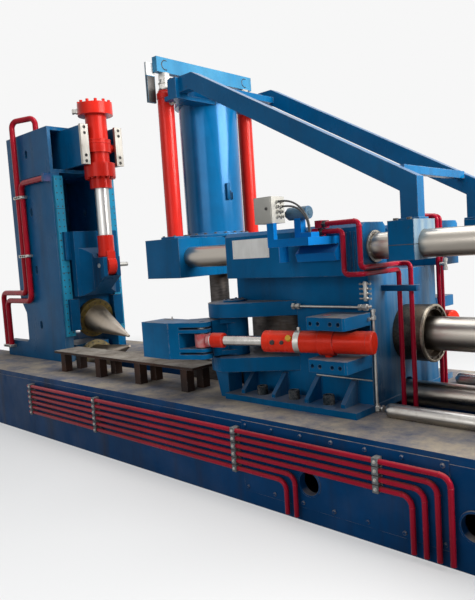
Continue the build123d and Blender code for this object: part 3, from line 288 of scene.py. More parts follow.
def bead(name, start, end, radius, material, body, step=0.022):
    start, end = Vector(start), Vector(end)
    count = max(2, int((end - start).length / step))
    swell = [(radius * (1.0 if index % 2 else 0.78), index * step) for index in range(count + 1)]
    return finish(turned(swell, start, end - start, 8), name, material, body, 80)


bed_blue = enamel("bed_enamel", (0.0010, 0.054, 0.175), (0.002, 0.034, 0.105), dust=1.0, streaks=0.6,
    wear=0.8, gloss=0.42, dust_colour=(0.43, 0.36, 0.275))
dress(bed_blue, "near_girder", "far_girder", "channel_floor")
girder_low, girder_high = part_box("near_girder")
panel_front = girder_low.y + 0.006
panel_left, panel_right, panel_bottom, panel_top = 1.33, 2.93, 0.14, 0.63
panel_bolts = [((x, panel_front, z), -across) for x in evenly(panel_left, panel_right, 7)
    for z in (panel_bottom, panel_top)]
finish(repeat(hex_bolt(0.013), panel_bolts), "access_panel_bolts", bed_blue, "frame")
seam_z = girder_high.z - 0.06
for side, y in (("near", girder_low.y + 0.014), ("far", -girder_low.y - 0.014)):
    bead(side + "_girder_weld", (cad_low.x + 0.01, y, seam_z), (cad_high.x - 0.01, y, seam_z), 0.006,
        bed_blue, "frame", 0.05)

# Bed pipes and clamps
# Six welded hydraulic lines in crimson enamel, bent at the ends, in grey clamp blocks on the girder's face.
# Each elbow is butt welded to its straight run, which leaves a bead round the pipe.


def speckled(name, scale, under, over, rough, metal=0.0, detail=4.0, low=0.0, high=1.0, stretch=(1, 1, 1)):
    material, tree, shader = new_finish(name)
    grain = cloud(tree, (low, high), scale, stretch, detail)
    if isinstance(rough, tuple):
        rough = cloud(tree, (0.3, 0.7, *rough), 30.0)
    feed(tree, shader, {"Base Color": blend(tree, grain, under, over), "Roughness": rough,
        "Metallic": metal})
    return material


zinc = speckled("zinc_plate", 40.0, (0.30, 0.29, 0.27), (0.62, 0.60, 0.56), (0.28, 0.55), 0.85, 6.0)
crimson = enamel("crimson_pipe_enamel", (0.43, 0.006, 0.030), (0.25, 0.004, 0.018), dust=0.25, streaks=0.15,
    wear=0.35, gloss=0.22, edge=0.003, shine=0.3)
dress(crimson, "bed_pipes", "housing_pipes")
clamp_grey = enamel("clamp_zinc", (0.20, 0.21, 0.22), (0.08, 0.10, 0.13), dust=0.4, streaks=0.3, wear=0.8)
dress(clamp_grey, "pipe_clamps")
pipe_low, pipe_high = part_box("bed_pipes")
pipe_y = (pipe_low.y + pipe_high.y) / 2
pipe_radius = (pipe_high.y - pipe_low.y) / 2
pipe_pitch, pipe_top = 0.060, 0.585
clamp_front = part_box("pipe_clamps")[0].y
clamp_places = [((x, clamp_front, pipe_top - index * pipe_pitch), -across)
    for x, count in ((-2.0, 6), (-0.7, 6), (1.24, 6), (2.5, 4)) for index in range(count)]
finish(repeat(hex_bolt(0.010), clamp_places), "pipe_clamp_bolts", zinc, "frame")
pipe_bend, bend_step, right_drop, left_drop, joint_x = 0.07, 0.084, 2.74, 1.74, 0.30
weld_places = []
for index in range(6):
    z = pipe_top - index * pipe_pitch
    drop_x = right_drop + (3 - index) * bend_step if index < 4 else left_drop + (5 - index) * bend_step
    weld_places += [((drop_x - pipe_bend, pipe_y, z), along), ((drop_x, pipe_y, z - pipe_bend), -up),
        ((joint_x - index * pipe_pitch, pipe_y, z), along)]


def pipe_weld():
    return turned([(pipe_radius * 1.02, -0.004), (pipe_radius * 1.14, -0.001), (pipe_radius * 1.14, 0.001),
        (pipe_radius * 1.02, 0.004)], sides=20)


finish(repeat(pipe_weld(), weld_places), "bed_pipe_welds", crimson, "frame")

# Rear rails
# Ground steel bars that the rear yoke runs over, let into the top plate and rubbed bright along the top.


def ground_steel(name, colour, dark, rough_low, rough_high, stretch, stain=0.5):
    material, tree, shader = new_finish(name)
    lines = pattern(tree, 60.0, stretch, 5.0)
    tone = blend(tree, between(tree, lines, 0.3, 0.7), dark, colour)
    spots = cloud(tree, (0.5, 0.72, 0.0, stain), 5.0, detail=8.0, roughness=0.7)
    rough = cloud(tree, (0.3, 0.7, rough_low, rough_high), 9.0, stretch, 6.0)
    feed(tree, shader, {
        "Metallic": 1.0,
        "Base Color": blend(tree, spots, tone, (0.11, 0.075, 0.048)),
        "Roughness": calc(tree, rough, calc(tree, spots, 0.5), "ADD"),
        "Normal": bumped(tree, lines, worn_edges(tree, 0.004)[0], 0.06, 0.001),
    })
    return material


rail_steel = ground_steel("rail_steel", (0.52, 0.50, 0.47), (0.36, 0.34, 0.31), 0.18, 0.38, (0.05, 1.0, 1.0))
dress(rail_steel, "rear_rails")

# Axial stand
# Two profiled plate cheeks, a box head and a back plate, welded together and slid along the bed as one piece.
# The guide strips are screwed to the front edges in short lengths, and black screws fill the mounting bars.


def socket_screw(radius):
    return turned([(radius, 0), (radius, radius * 0.8), (radius * 0.9, radius * 0.9),
        (radius * 0.52, radius * 0.9), (radius * 0.50, radius * 0.35)], sides=12)


blue = (0.0010, 0.128, 0.315)
blue_shade = (0.0008, 0.084, 0.215)
# Its faces toward the window lamp carry light painted sheen in pale streaks.
machine_blue = enamel("machine_blue_enamel", blue, blue_shade, dust=0.55, streaks=0.35, wear=0.55, window_sheen=0.35)
dress(machine_blue, "axial_cheeks", "axial_head", "lower_cone_housing")
strip_blue = enamel("strip_enamel", (0.030, 0.330, 0.520), (0.015, 0.220, 0.400), dust=0.3, streaks=0.5,
    wear=1.0, gloss=0.30, edge=0.004)
dress(strip_blue, "guide_strips")
bar_grey = ground_steel("milled_bar", (0.44, 0.425, 0.39), (0.32, 0.30, 0.275), 0.45, 0.62, (1, 1, 0.1), 0.3)
dress(bar_grey, "mounting_bars")
blackened = speckled("blackened_steel", 60.0, (0.020, 0.020, 0.022), (0.075, 0.070, 0.065), 0.45, 0.7)


def screw_on(head, spots, name, body):
    finish(repeat(head, spots), name, blackened, body)


strip_low, strip_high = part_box("guide_strips")
strip_inner = strip_low.y + 0.122
screw_places = [((strip_high.x, side * y, z), along) for side in (1, -1)
    for y in (strip_low.y + 0.028, strip_inner - 0.030)
    for z in evenly(strip_low.z + 0.045, strip_high.z - 0.045, 24)]
flush_screw = turned([(0.0095, -0.002), (0.0095, 0.00025), (0.0088, 0.00035)], sides=12)
screw_on(flush_screw, screw_places, "guide_strip_screws", "axial_stand")
bar_low, bar_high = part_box("mounting_bars")
bar_half, hole_inset, hole_second, screw_sink = 0.0525, 0.038, 0.106, 0.014
bar_spots = [((bar_high.x - screw_sink, y, z), along) for y in (bar_low.y + bar_half, bar_high.y - bar_half)
    for z in (bar_low.z + hole_inset, bar_low.z + hole_second, bar_high.z - hole_second,
    bar_high.z - hole_inset)]
screw_on(socket_screw(0.020), bar_spots, "mounting_bar_screws", "axial_stand")
joint_pieces = [block((strip_high.x - 0.004, side * strip_low.y, z - 0.003),
    (strip_high.x + 0.0003, side * strip_inner, z + 0.003), 0.0002) for side in (1, -1)
    for z in evenly(strip_low.z + 0.41, strip_high.z - 0.41, 4)]
finish(joint_pieces, "guide_strip_joints", blackened, "axial_stand")
cheek_low, cheek_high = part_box("axial_cheeks")
head_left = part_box("axial_head")[0].x + 0.01
for side, y in (("near", cheek_low.y - 0.001), ("far", cheek_high.y + 0.001)):
    bead(side + "_head_weld", (head_left, y, cheek_high.z), (strip_low.x - 0.01, y, cheek_high.z), 0.007,
        machine_blue, "axial_stand")

# Cones
# Hardened forged steel cones, turned to a fine finish, with straw and brown heat tints near the flange.
# Each is screwed to its spindle through the flange.


def cone_finish(name, tip, axis, reach):
    material, tree, shader = new_finish(name)
    shift = add(tree, "VectorMath", {0: object_place(tree), 1: tip}, operation="SUBTRACT")
    distance = add(tree, "VectorMath", {0: shift.outputs["Vector"], 1: axis},
        operation="DOT_PRODUCT").outputs["Value"]
    wobble = calc(tree, pattern(tree, 8.0, detail=5.0), 0.10)
    heat = between(tree, calc(tree, distance, wobble, "ADD"), reach * 0.45, reach * 0.98)
    tone = blend(tree, heat, (0.46, 0.40, 0.34), (0.30, 0.25, 0.19))
    holder = add(tree, "CombineXYZ", {"X": distance})
    rings = add(tree, "TexWave", {"Scale": 60.0, "Distortion": 0.6, "Vector": holder.outputs["Vector"]},
        wave_type="BANDS", bands_direction="X")
    fine = between(tree, rings.outputs["Fac"], 0.0, 1.0)
    tone = blend(tree, calc(tree, fine, 0.3), tone, (0.30, 0.25, 0.19))
    smudges = cloud(tree, (0.48, 0.75, 0.0, 0.5), 4.5, detail=7.0, roughness=0.7)
    tone = blend(tree, smudges, tone, (0.20, 0.15, 0.10))
    flange = between(tree, distance, reach - 0.004, reach - 0.002)
    olive = blend(tree, cloud(tree, (0.35, 0.7), 14.0, detail=6.0), (0.070, 0.052, 0.012),
        (0.165, 0.115, 0.028))
    feed(tree, shader, {
        "Base Color": blend(tree, flange, tone, olive),
        "Metallic": between(tree, flange, 0.0, 1.0, 1.0, 0.35),
        "Roughness": cloud(tree, (0.3, 0.75, 0.34, 0.52), 12.0, detail=6.0),
        "Normal": bumped(tree, fine, worn_edges(tree, 0.006)[0], 0.12, 0.001),
    })
    return material


def bolt_circle(centre, first_way, second_way, radius, count, direction, share=0.5):
    spots = []
    for index in range(count):
        turn = 2 * math.pi * (index + share) / count
        spot = Vector(centre) + (first_way * math.cos(turn) + second_way * math.sin(turn)) * radius
        spots.append((spot, direction))
    return spots


tilt = math.radians(16.5)
tip_x, cone_reach, flange_screw_ring = -1.6, 0.780, 0.222
for name, tip_z, lean in (("upper_cone", 0.995, 1), ("lower_cone", 0.905, -1)):
    tip = Vector((tip_x, 0, tip_z))
    axis = Vector((-math.cos(tilt), 0, lean * math.sin(tilt)))
    dress(cone_finish(name + "_turned_steel", tip, axis, cone_reach), name)
    spots = bolt_circle(tip + axis * (cone_reach + 0.001), across, axis.cross(across), flange_screw_ring, 16,
        -axis)
    screw_on(socket_screw(0.009), spots, name + "_flange_screws", name)

# Axial slide
# A welded box with a flat front plate, guided between the cheeks, with flared ears for the cylinder's eye.
# The plate was planed and brushed with a darker coat than the cheeks.
slide_blue = enamel("slide_enamel", (0.0010, 0.086, 0.215), (0.0008, 0.050, 0.135), dust=0.35, streaks=0.7,
    wear=0.6)
dress(slide_blue, "axial_slide")

# Axial cylinder, its rod and eye
# A red enamelled hydraulic cylinder with bolted flanges, a chrome rod and a forged eye on a steel pin.


def chrome(name, colour, rough, stretch=(1, 1, 0.15)):
    material, tree, shader = new_finish(name)
    smear = cloud(tree, (0.45, 0.75, 0.0, 0.45), 6.0, stretch, 6.0)
    feed(tree, shader, {
        "Metallic": 1.0,
        "Base Color": blend(tree, smear, colour, tuple(c * 0.55 for c in colour)),
        "Roughness": cloud(tree, (0.3, 0.75, rough, rough * 1.5), 5.0, stretch, 4.0),
        "Normal": worn_edges(tree, 0.014)[0],
    })
    return material


def pick_faces(piece, wanted):
    take(piece)
    edit("DESELECT")
    leave()
    for face in piece.data.polygons:
        face.select = wanted(face)
    bpy.ops.object.mode_set(mode="EDIT")


def hollow(ring):
    pick_faces(ring, lambda face: len(face.vertices) > 4)
    bpy.ops.mesh.delete(type="ONLY_FACE")
    leave()
    return ring


cylinder_red = enamel("cylinder_red_enamel", (0.76, 0.026, 0.014), (0.54, 0.015, 0.010), dust=0.2,
    streaks=0.2, wear=0.35, gloss=0.20, edge=0.005, shine=0.35)
rod_chrome = chrome("rod_chrome", (0.56, 0.55, 0.53), 0.30)
dress(cylinder_red, "axial_cylinder", "axial_rod_eye")
dress(rod_chrome, "axial_rod")
pin_steel = ground_steel("pin_steel", (0.50, 0.49, 0.47), (0.34, 0.33, 0.31), 0.25, 0.45, (1.0, 0.1, 1.0),
    0.3)
dress(pin_steel, "axial_pin")
axial_x, lower_flange_z, lower_flange_ring, axial_port_z = -1.99, 3.0, 0.167, 3.83
stud_spots = bolt_circle((axial_x, 0, lower_flange_z), along, across, lower_flange_ring, 16, -up, 0)
finish(repeat(hex_bolt(0.020), stud_spots), "axial_flange_studs", cylinder_red, "axial_stand")
port_way = Vector((-0.72, -0.69, 0)).normalized()
port = turned([(0.036, 0), (0.036, 0.030), (0.030, 0.034), (0.030, 0.060), (0.034, 0.062), (0.034, 0.078)],
    Vector((axial_x, 0, axial_port_z)) + port_way * 0.205, port_way, 6)
finish(port, "axial_port", zinc, "axial_stand")
bands = [hollow(turned([(0.1605, -0.006), (0.164, -0.003), (0.164, 0.003), (0.1605, 0.006)], (axial_x, 0, z),
    sides=64)) for z in (3.415, 3.455)]
finish(bands, "axial_collar_rings", cylinder_red, "axial_stand")

# Axial pipes
# Two crimson lines on the near cheek, held by zinc plated saddle blocks with three screws each.
# The port block by the guide strip was painted blue with the cheek that it is welded to.
pipe_paint = enamel("axial_pipe_enamel", (0.50, 0.008, 0.024), (0.30, 0.005, 0.016), dust=0.25, streaks=0.15,
    wear=0.35, gloss=0.22, edge=0.003, shine=0.3)
tree = pipe_paint.node_tree
shader = tree.nodes["Principled BSDF"]
place_x = add(tree, "SeparateXYZ", {"Vector": object_place(tree)}).outputs["X"]
port_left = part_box("axial_cheeks")[1].x - 0.052
red_coat = shader.inputs["Base Color"].links[0].from_socket
feed(tree, shader, {"Base Color": blend(tree, between(tree, place_x, port_left, port_left + 0.001), red_coat,
    blue_shade)})
dress(pipe_paint, "axial_pipes")
saddle_front, saddle_back, saddle_half = -0.559, -0.4655, 0.0185
saddles = []
saddle_bolts = []
for left, z in ((-3.166, 2.86), (-3.166, 2.09), (-3.86, 0.85)):
    saddles.append(block((left - 0.0535, saddle_front, z - saddle_half),
        (left + 0.1615, saddle_back, z + saddle_half), 0.004))
    saddle_bolts += [((x, saddle_front + 0.001, z), -across) for x in (left, left + 0.054, left + 0.108)]
finish(saddles, "axial_pipe_saddles", zinc, "axial_stand")
screw_on(hex_bolt(0.010), saddle_bolts, "axial_saddle_bolts", "axial_stand")

# Radial stand
# A heavy welded block with a mouth for the main roll, gusseted down to a flange that is bolted to the bed.
# Zinc plated drain and lubrication lines run over its near face.
dress(machine_blue, "radial_stand")
nut_low, nut_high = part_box("anchor_nuts")
nut_y = nut_high.y - 0.047
ribs = 20


def anchor_nut():
    piece = turned([(0.046, 0), (0.046, 0.068), (0.040, 0.0745), (0.026, 0.0745), (0.026, 0.030)],
        sides=ribs * 2)

    def flute(face):
        centre = face.center
        turn = math.atan2(centre.y, centre.x) / (2 * math.pi) * ribs * 2
        outer = math.hypot(centre.x, centre.y) > 0.044 and 0.01 < centre.z < 0.06
        return outer and int(math.floor(turn)) % 2 == 0

    pick_faces(piece, flute)
    bpy.ops.mesh.inset(thickness=0.0012, depth=-0.0035, use_individual=True)
    leave()
    return piece


nut_iron = enamel("nut_iron", (0.030, 0.048, 0.060), (0.016, 0.020, 0.024), dust=0.5, streaks=0.4, wear=1.0)
nut_spots = [((x, side * nut_y, nut_low.z), up) for x in (1.12, 1.46, 1.80) for side in (-1, 1)]
nuts = finish(repeat(anchor_nut(), nut_spots), "anchor_nut_set", nut_iron, "frame")
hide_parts("anchor_nuts")
gusset_x, gusset_pitch, gusset_half = 0.95, 0.34, 0.022
weld_y, weld_low, weld_high = 0.548, 0.755, 0.925
for index in range(4):
    for side, which in ((-1, "near"), (1, "far")):
        for shift, edge in ((-gusset_half, "a"), (gusset_half, "b")):
            x = gusset_x + index * gusset_pitch + shift
            bead(f"gusset_weld_{index}_{which}_{edge}", (x, side * weld_y, weld_low),
                (x, side * weld_y, weld_high), 0.006, machine_blue, "frame", 0.012)
drain_x, drain_y = 2.133, -0.520
valve_body = [(0.020, 0.0), (0.026, 0.006), (0.026, 0.040), (0.018, 0.048), (0.018, 0.060)]
valve_stem = [(0.009, 0.0), (0.009, 0.045), (0.026, 0.046), (0.026, 0.056), (0.020, 0.058)]
upper_valve = [(0.016, 0.0), (0.023, 0.004), (0.023, 0.030), (0.016, 0.036), (0.016, 0.060), (0.021, 0.062),
    (0.021, 0.082)]
valve_arm = [(0.008, 0.0), (0.008, 0.052), (0.014, 0.054), (0.014, 0.066)]
drain = [turned(steps, (drain_x, drain_y, z), direction, sides) for steps, z, direction, sides in (
    ([(0.011, 0.0), (0.011, 0.75)], 0.73, up, 16), (valve_body, 0.70, up, 6), (valve_stem, 0.728, along, 12),
    (upper_valve, 1.395, up, 8), (valve_arm, 1.410, -across, 10))]
finish(drain, "drain_line", zinc, "frame")
lube_left, lube_right, lube_y, lube_z = 1.44, 2.14, -0.600, 1.50
fitting = [(0.020, 0.0), (0.028, 0.003), (0.028, 0.028), (0.019, 0.031), (0.019, 0.050), (0.025, 0.052),
    (0.025, 0.075), (0.014, 0.080)]
lube = [
    turned([(0.011, 0.0), (0.011, lube_right - lube_left)], (lube_left, lube_y, lube_z), along, 12),
    turned(fitting, (lube_left, lube_y, lube_z), along, 6),
    turned(fitting, (lube_right, lube_y, lube_z), -along, 6),
    turned([(0.013, 0.0), (0.013, 0.058)], (lube_right - 0.010, -0.545, lube_z), -across, 12)]
finish(lube, "upper_lube_line", zinc, "frame")
manifold_x, manifold_half = 2.099, 0.013
stub = [(0.010, 0.0), (0.010, 0.008), (0.006, 0.010), (0.006, 0.024), (0.009, 0.026), (0.009, 0.036)]
manifold = [block((manifold_x - manifold_half, -0.562, 1.540), (manifold_x + manifold_half, -0.5445, 1.690),
    0.003)]
manifold += [turned(stub, (manifold_x + way * 0.012, -0.555, z), (way, 0, 0), 8)
    for z in evenly(1.560, 1.670, 4) for way in (-1, 1)]
finish(manifold, "lube_manifold", zinc, "frame")
lower_line = turned([(0.0065, 0.0), (0.0065, 0.51)], (1.61, -0.5525, 0.94), along, 10)
finish(lower_line, "lower_line", zinc, "frame")

# Nose plates, legs and main roll
# Thick plates above and below the main roll, rounded round the arm pivots and carried on two cast legs.
# Screwed caps close the bores of the pivot pins and of the roll.
nose_blue = enamel("nose_enamel", blue, blue_shade, dust=0.75, streaks=0.3, wear=0.7, edge=0.008)
dress(nose_blue, "lower_nose", "upper_nose", "nose_legs", "trunnion_brackets")
dress(pin_steel, "pivot_pins")
scale_iron = ground_steel("scaled_iron", (0.100, 0.090, 0.085), (0.045, 0.040, 0.038), 0.4, 0.6,
    (0.2, 0.2, 1.0), 0.6)
dress(scale_iron, "main_roll")
nose_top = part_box("upper_nose")[1].z
pivot_x, pivot_y, roll_x = 0.85, 0.67, 0.95
pivot_caps = []
cap_bolts = []
for side in (-1, 1):
    centre = Vector((pivot_x, side * pivot_y, nose_top))
    pivot_caps.append(turned([(0.098, -0.001), (0.098, 0.016), (0.092, 0.020), (0.030, 0.020),
        (0.026, 0.026)], centre, up, 48))
    cap_bolts += bolt_circle(centre + up * 0.019, along, across, 0.074, 6, up, 0)
finish(pivot_caps, "pivot_caps", nose_blue, "frame")
screw_on(socket_screw(0.011), cap_bolts, "pivot_cap_screws", "frame")
roll_cap = turned([(0.190, -0.001), (0.190, 0.022), (0.182, 0.028), (0.070, 0.028), (0.066, 0.040)],
    (roll_x, 0, nose_top), up, 64)
finish(roll_cap, "main_roll_cap", nose_blue, "frame")
roll_cap_spots = bolt_circle((roll_x, 0, nose_top + 0.026), along, across, 0.162, 12, up)
screw_on(hex_bolt(0.013), roll_cap_spots, "main_roll_cap_bolts", "frame")

# Cylinder ring
# The bolted end of the main cylinder inside the stand, unpainted steel coloured very dark as painted shade.
# A thin turned rim round its mouth is coloured pale as a painted highlight.
ring_iron_and_shade = ground_steel("ring_iron_and_shade", (0.13, 0.105, 0.080), (0.05, 0.040, 0.032), 0.32, 0.50, (1, 1, 1), 0.5)
dress(ring_iron_and_shade, "cylinder_ring")
ring_low, ring_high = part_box("cylinder_ring")
ring_centre = Vector((ring_high.x, 0, (ring_low.z + ring_high.z) / 2))
ring_radius = (ring_high.y - ring_low.y) / 2
# Pale steel for the rim: a painted highlight round the mouth.
rim_highlight_steel = ground_steel("rim_highlight_steel", (0.44, 0.385, 0.30), (0.28, 0.235, 0.18), 0.30, 0.45, (1, 1, 1), 0.4)
rim_steps = [(ring_radius + wider, height) for wider, height in (
    (0.0005, -0.020), (0.004, -0.018), (0.004, 0.000), (-0.002, 0.004), (-0.014, 0.004), (-0.014, -0.006))]
finish(hollow(turned(rim_steps, ring_centre, along, 96)), "ring_rim", rim_highlight_steel, "frame")

# Guide housings
# Long bored sleeves for the upper tie rods, with a screwed wiper ring at each end.
# Short ribs are welded on the outside of their rear ends.
housing_blue = enamel("housing_enamel", blue, blue_shade, dust=0.6, streaks=0.3, wear=0.5, edge=0.010)
dress(housing_blue, "guide_housings")
housing_low, housing_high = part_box("guide_housings")
tie_y, tie_z, tie_radius = 0.62, 1.945, 0.095
wiper_bore, wiper_screw_ring = tie_radius + 0.002, 0.106
wipers = []
wiper_screws = []
for side in (-1, 1):
    for x, way in ((housing_low.x, -along), (housing_high.x, along)):
        centre = Vector((x, side * tie_y, tie_z))
        wipers.append(hollow(turned([(wiper_bore, 0), (0.116, 0), (0.116, 0.014), (0.110, 0.017),
            (wiper_bore, 0.017)], centre, way, 56)))
        wiper_screws += bolt_circle(centre + way * 0.016, across, up, wiper_screw_ring, 8, way)
# The ribs take the darker slide enamel, as painted shade bands on the housing's faces.
end_ribs = [block((x - 0.007, side * (housing_high.y - 0.004), housing_low.z + 0.025),
    (x + 0.007, side * (housing_high.y + 0.005), housing_high.z - 0.060))
    for x in (2.098, 2.136, 2.168, 2.204) for side in (-1, 1)]
finish(end_ribs, "housing_end_ribs", slide_blue, "frame")
wiper_steel = ground_steel("wiper_steel", (0.42, 0.40, 0.36), (0.26, 0.24, 0.21), 0.34, 0.5, (1, 1, 1), 0.4)
finish(wipers, "wiper_rings", wiper_steel, "frame")
finish(repeat(socket_screw(0.007), wiper_screws), "wiper_ring_screws", zinc, "frame")

# Mandrel carriage
# The crosshead, tie rods, clamp blocks and rear yoke slide as one frame over the fixed stand.
# The rods are ground and hard chromed, the castings enamelled.
rod_steel = chrome("tie_rod_chrome", (0.41, 0.375, 0.330), 0.24, (0.12, 1.0, 1.0))
dress(housing_blue, "crosshead")
# The clamp blocks carry strong painted sheen in pale streaks on their faces toward the window lamp.
clamp_blue = enamel("clamp_enamel", blue, blue_shade, dust=0.6, streaks=0.3, wear=0.9, edge=0.010, window_sheen=1.0)
dress(clamp_blue, "clamp_blocks")
dress(machine_blue, "rear_yoke")
dress(rod_steel, "tie_rods", "main_rod", "lower_rod")
dress(scale_iron, "lower_crosshead")
clamp_low, clamp_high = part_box("clamp_blocks")
clamp_inner, seam_out, seam_half = 0.465, 0.0006, 0.0025
seams = []
clamp_spots = []
for side in (-1, 1):
    seams.append(block((clamp_low.x - seam_out, side * (clamp_inner - seam_out), tie_z - seam_half),
        (clamp_high.x + seam_out, side * (clamp_high.y + seam_out), tie_z + seam_half), 0.0004))
    clamp_spots += [((x, side * (clamp_high.y - 0.035), clamp_high.z - 0.001), up)
        for x in (clamp_low.x + 0.045, clamp_high.x - 0.045)]
finish(seams, "clamp_block_joints", blackened, "carriage")
screw_on(socket_screw(0.018), clamp_spots, "clamp_block_screws", "carriage")
yoke_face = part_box("rear_yoke")[1].x
plates = []
plate_bolts = []
for y, z, radius in ((-tie_y, tie_z, 0.150), (tie_y, tie_z, 0.150), (0, 1.235, 0.215), (0, 0.745, 0.145)):
    centre = Vector((yoke_face, y, z))
    plates.append(turned([(radius, -0.001), (radius, 0.028), (radius * 0.96, 0.034), (radius * 0.45, 0.034),
        (radius * 0.42, 0.050), (radius * 0.38, 0.054)], centre, along, 64))
    plate_bolts += bolt_circle(centre + along * 0.033, across, up, radius * 0.78, 8, along)
finish(plates, "yoke_end_plates", machine_blue, "carriage")
screw_on(hex_bolt(0.017), plate_bolts, "yoke_end_bolts", "carriage")

# Mandrel tower
# A blue tube with a bolted collar stands on the crosshead between two red lift cylinders.
# Their chrome rods carry a crossbar, and the mandrel hangs from it inside the tube.
tube_blue = enamel("tower_enamel", (0.0015, 0.135, 0.34), blue_shade, dust=0.25, streaks=0.25, wear=0.35,
    gloss=0.16, edge=0.02, shine=0.5)
dress(tube_blue, "mandrel_tube")
lift_red = enamel("lift_red_enamel", (0.78, 0.028, 0.018), (0.58, 0.017, 0.012), dust=0.2, streaks=0.25,
    wear=0.3, gloss=0.17, edge=0.02, shine=0.4)
dress(lift_red, "lift_cylinders")
bar_blue = enamel("crossbar_enamel", (0.070, 0.265, 0.430), (0.030, 0.190, 0.370), dust=0.4, streaks=0.2,
    wear=0.4)
dress(bar_blue, "crossbar")
dress(rod_chrome, "lift_rods")
dress(scale_iron, "mandrel")
tube_low, tube_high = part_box("mandrel_tube")
tube_foot = turned([(0.350, 0.0), (0.350, 0.026), (0.342, 0.032), (0.300, 0.032), (0.296, 0.050)],
    (0, 0, tube_low.z), up, 96)
finish(tube_foot, "tube_foot", tube_blue, "carriage")
foot_spots = bolt_circle((0, 0, tube_low.z + 0.030), along, across, 0.325, 20, up)
collar_spots = bolt_circle((0, 0, tube_high.z - 0.001), along, across, 0.290, 12, up, 0)
screw_on(hex_bolt(0.015), foot_spots, "tube_foot_bolts", "carriage")
screw_on(hex_bolt(0.018), collar_spots, "tube_collar_bolts", "carriage")
lug_turn, lug_radius, lug_z = math.radians(-16), 0.291, 2.570
lug_pieces = [block((0, -0.018, -0.080), (0.034, 0.018, 0.080), 0.004),
    block((0, 0.030, -0.075), (0.020, 0.036, 0.010), 0.001),
    block((0, 0.046, -0.080), (0.026, 0.052, -0.010), 0.001)]
for piece in lug_pieces:
    piece.location = (lug_radius * math.cos(lug_turn), lug_radius * math.sin(lug_turn), lug_z)
    piece.rotation_euler = (0, 0, lug_turn)
finish(lug_pieces, "tower_lug", slide_blue, "carriage")
lift_low, lift_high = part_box("lift_cylinders")
lift_y, lift_radius, lift_rod, foot_half, foot_bolt = 0.555, 0.078, 0.038, 0.10, 0.08
gland_bore, sleeve_radius = lift_rod + 0.003, lift_radius - 0.002
glands = []
lift_feet = []
lift_nuts = []
lift_ports = []
feet_spots = []
for side in (-1, 1):
    y = side * lift_y
    glands.append(turned([(gland_bore, 0.0), (0.070, 0.0), (0.070, 0.018), (0.064, 0.022),
        (gland_bore, 0.022)], (0, y, lift_high.z - 0.0005), up, 40))
    glands.append(turned([(sleeve_radius, 0.0), (0.0835, 0.003), (0.0835, 0.052), (sleeve_radius, 0.055)],
        (0, y, lift_high.z - 0.058), up, 48))
    lift_feet.append(block((-foot_half, y - foot_half, lift_low.z),
        (foot_half, y + foot_half, lift_low.z + 0.024), 0.004))
    feet_spots += [((x, y + step, lift_low.z + 0.023), up) for x in (-foot_bolt, foot_bolt)
        for step in (-foot_bolt, foot_bolt)]
    lift_ports.append(turned([(0.024, 0), (0.024, 0.016), (0.017, 0.018), (0.017, 0.036), (0.021, 0.038),
        (0.021, 0.052)], (lift_radius - 0.004, y, lift_high.z - 0.105), along, 6))
    for low, radius, height, sides in ((0.030, 0.060, 0.010, 40), (0.040, 0.056, 0.045, 6),
            (0.085, 0.060, 0.010, 40), (0.095, 0.048, 0.026, 40), (0.121, 0.056, 0.0635, 6)):
        lift_nuts.append(turned([(radius, 0), (radius, height * 0.94), (radius * 0.95, height)],
            (0, y, lift_high.z + low), up, sides))
finish(glands, "lift_glands", lift_red, "carriage")
finish(lift_feet, "lift_feet", housing_blue, "carriage")
screw_on(hex_bolt(0.012), feet_spots, "lift_foot_bolts", "carriage")
finish(lift_ports, "lift_ports", zinc, "carriage")
finish(lift_nuts, "lift_rod_nuts", zinc, "mandrel_lift")
beam_low, beam_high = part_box("crossbar")
hook_z, hook_cut = 3.775, 0.018
hooks = []
for side in (-1, 1):
    let_go()
    bpy.ops.mesh.primitive_torus_add(major_radius=0.044, minor_radius=0.0045, major_segments=48,
        minor_segments=8, location=(beam_high.x + 0.0005, side * lift_y, hook_z),
        rotation=(0, math.pi / 2, 0))
    hooks.append(bpy.context.object)
    bpy.ops.object.transform_apply()
    edit("SELECT")
    bpy.ops.mesh.bisect(plane_co=(0, side * lift_y + hook_cut, 0), plane_no=(0, 1, 0), clear_outer=True,
        use_fill=True)
    leave()
finish(hooks, "crossbar_hooks", blackened, "mandrel_lift")
scale_white = speckled("scale_white", 12.0, (0.72, 0.73, 0.72), (0.45, 0.45, 0.43), 0.45, 0.0, 6.0, 0.4, 0.7)
scale_face = block((beam_low.x + 0.004, -0.7355, 3.673), (beam_low.x + 0.0265, -0.6395, 3.7955))
finish(scale_face, "measuring_scale_face", scale_white, "mandrel_lift")
scale_track = block((beam_low.x + 0.0045, -0.7352, 3.4235), (beam_low.x + 0.0262, -0.6398, 3.672), 0.003)
finish(scale_track, "measuring_scale_track", blackened, "mandrel_lift")

# Brace frame
# Two bent box struts tie the tower's collar to the clamp blocks, with cross ties and bolted end plates.
brace_blue = enamel("brace_enamel", blue, blue_shade, dust=0.45, streaks=0.25, wear=0.5, gloss=0.24,
    edge=0.010, tinted=0.2)
dress(brace_blue, "brace_frame", "brace_mount")
mount_low, mount_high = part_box("brace_mount")
mount_spots = [((x, side * y, mount_high.z - 0.001), up) for side in (-1, 1)
    for x in (mount_low.x + 0.075, mount_high.x - 0.030) for y in (0.535, 0.620)]
screw_on(hex_bolt(0.016), mount_spots, "brace_mount_bolts", "carriage")
pad_left, pad_right, pad_inner, pad_outer, pad_thick = 2.423, 2.587, 0.485, 0.625, 0.016
pads = [block((pad_left, side * pad_inner, clamp_high.z),
    (pad_right, side * pad_outer, clamp_high.z + pad_thick), 0.003) for side in (-1, 1)]
finish(pads, "brace_pads", brace_blue, "carriage")

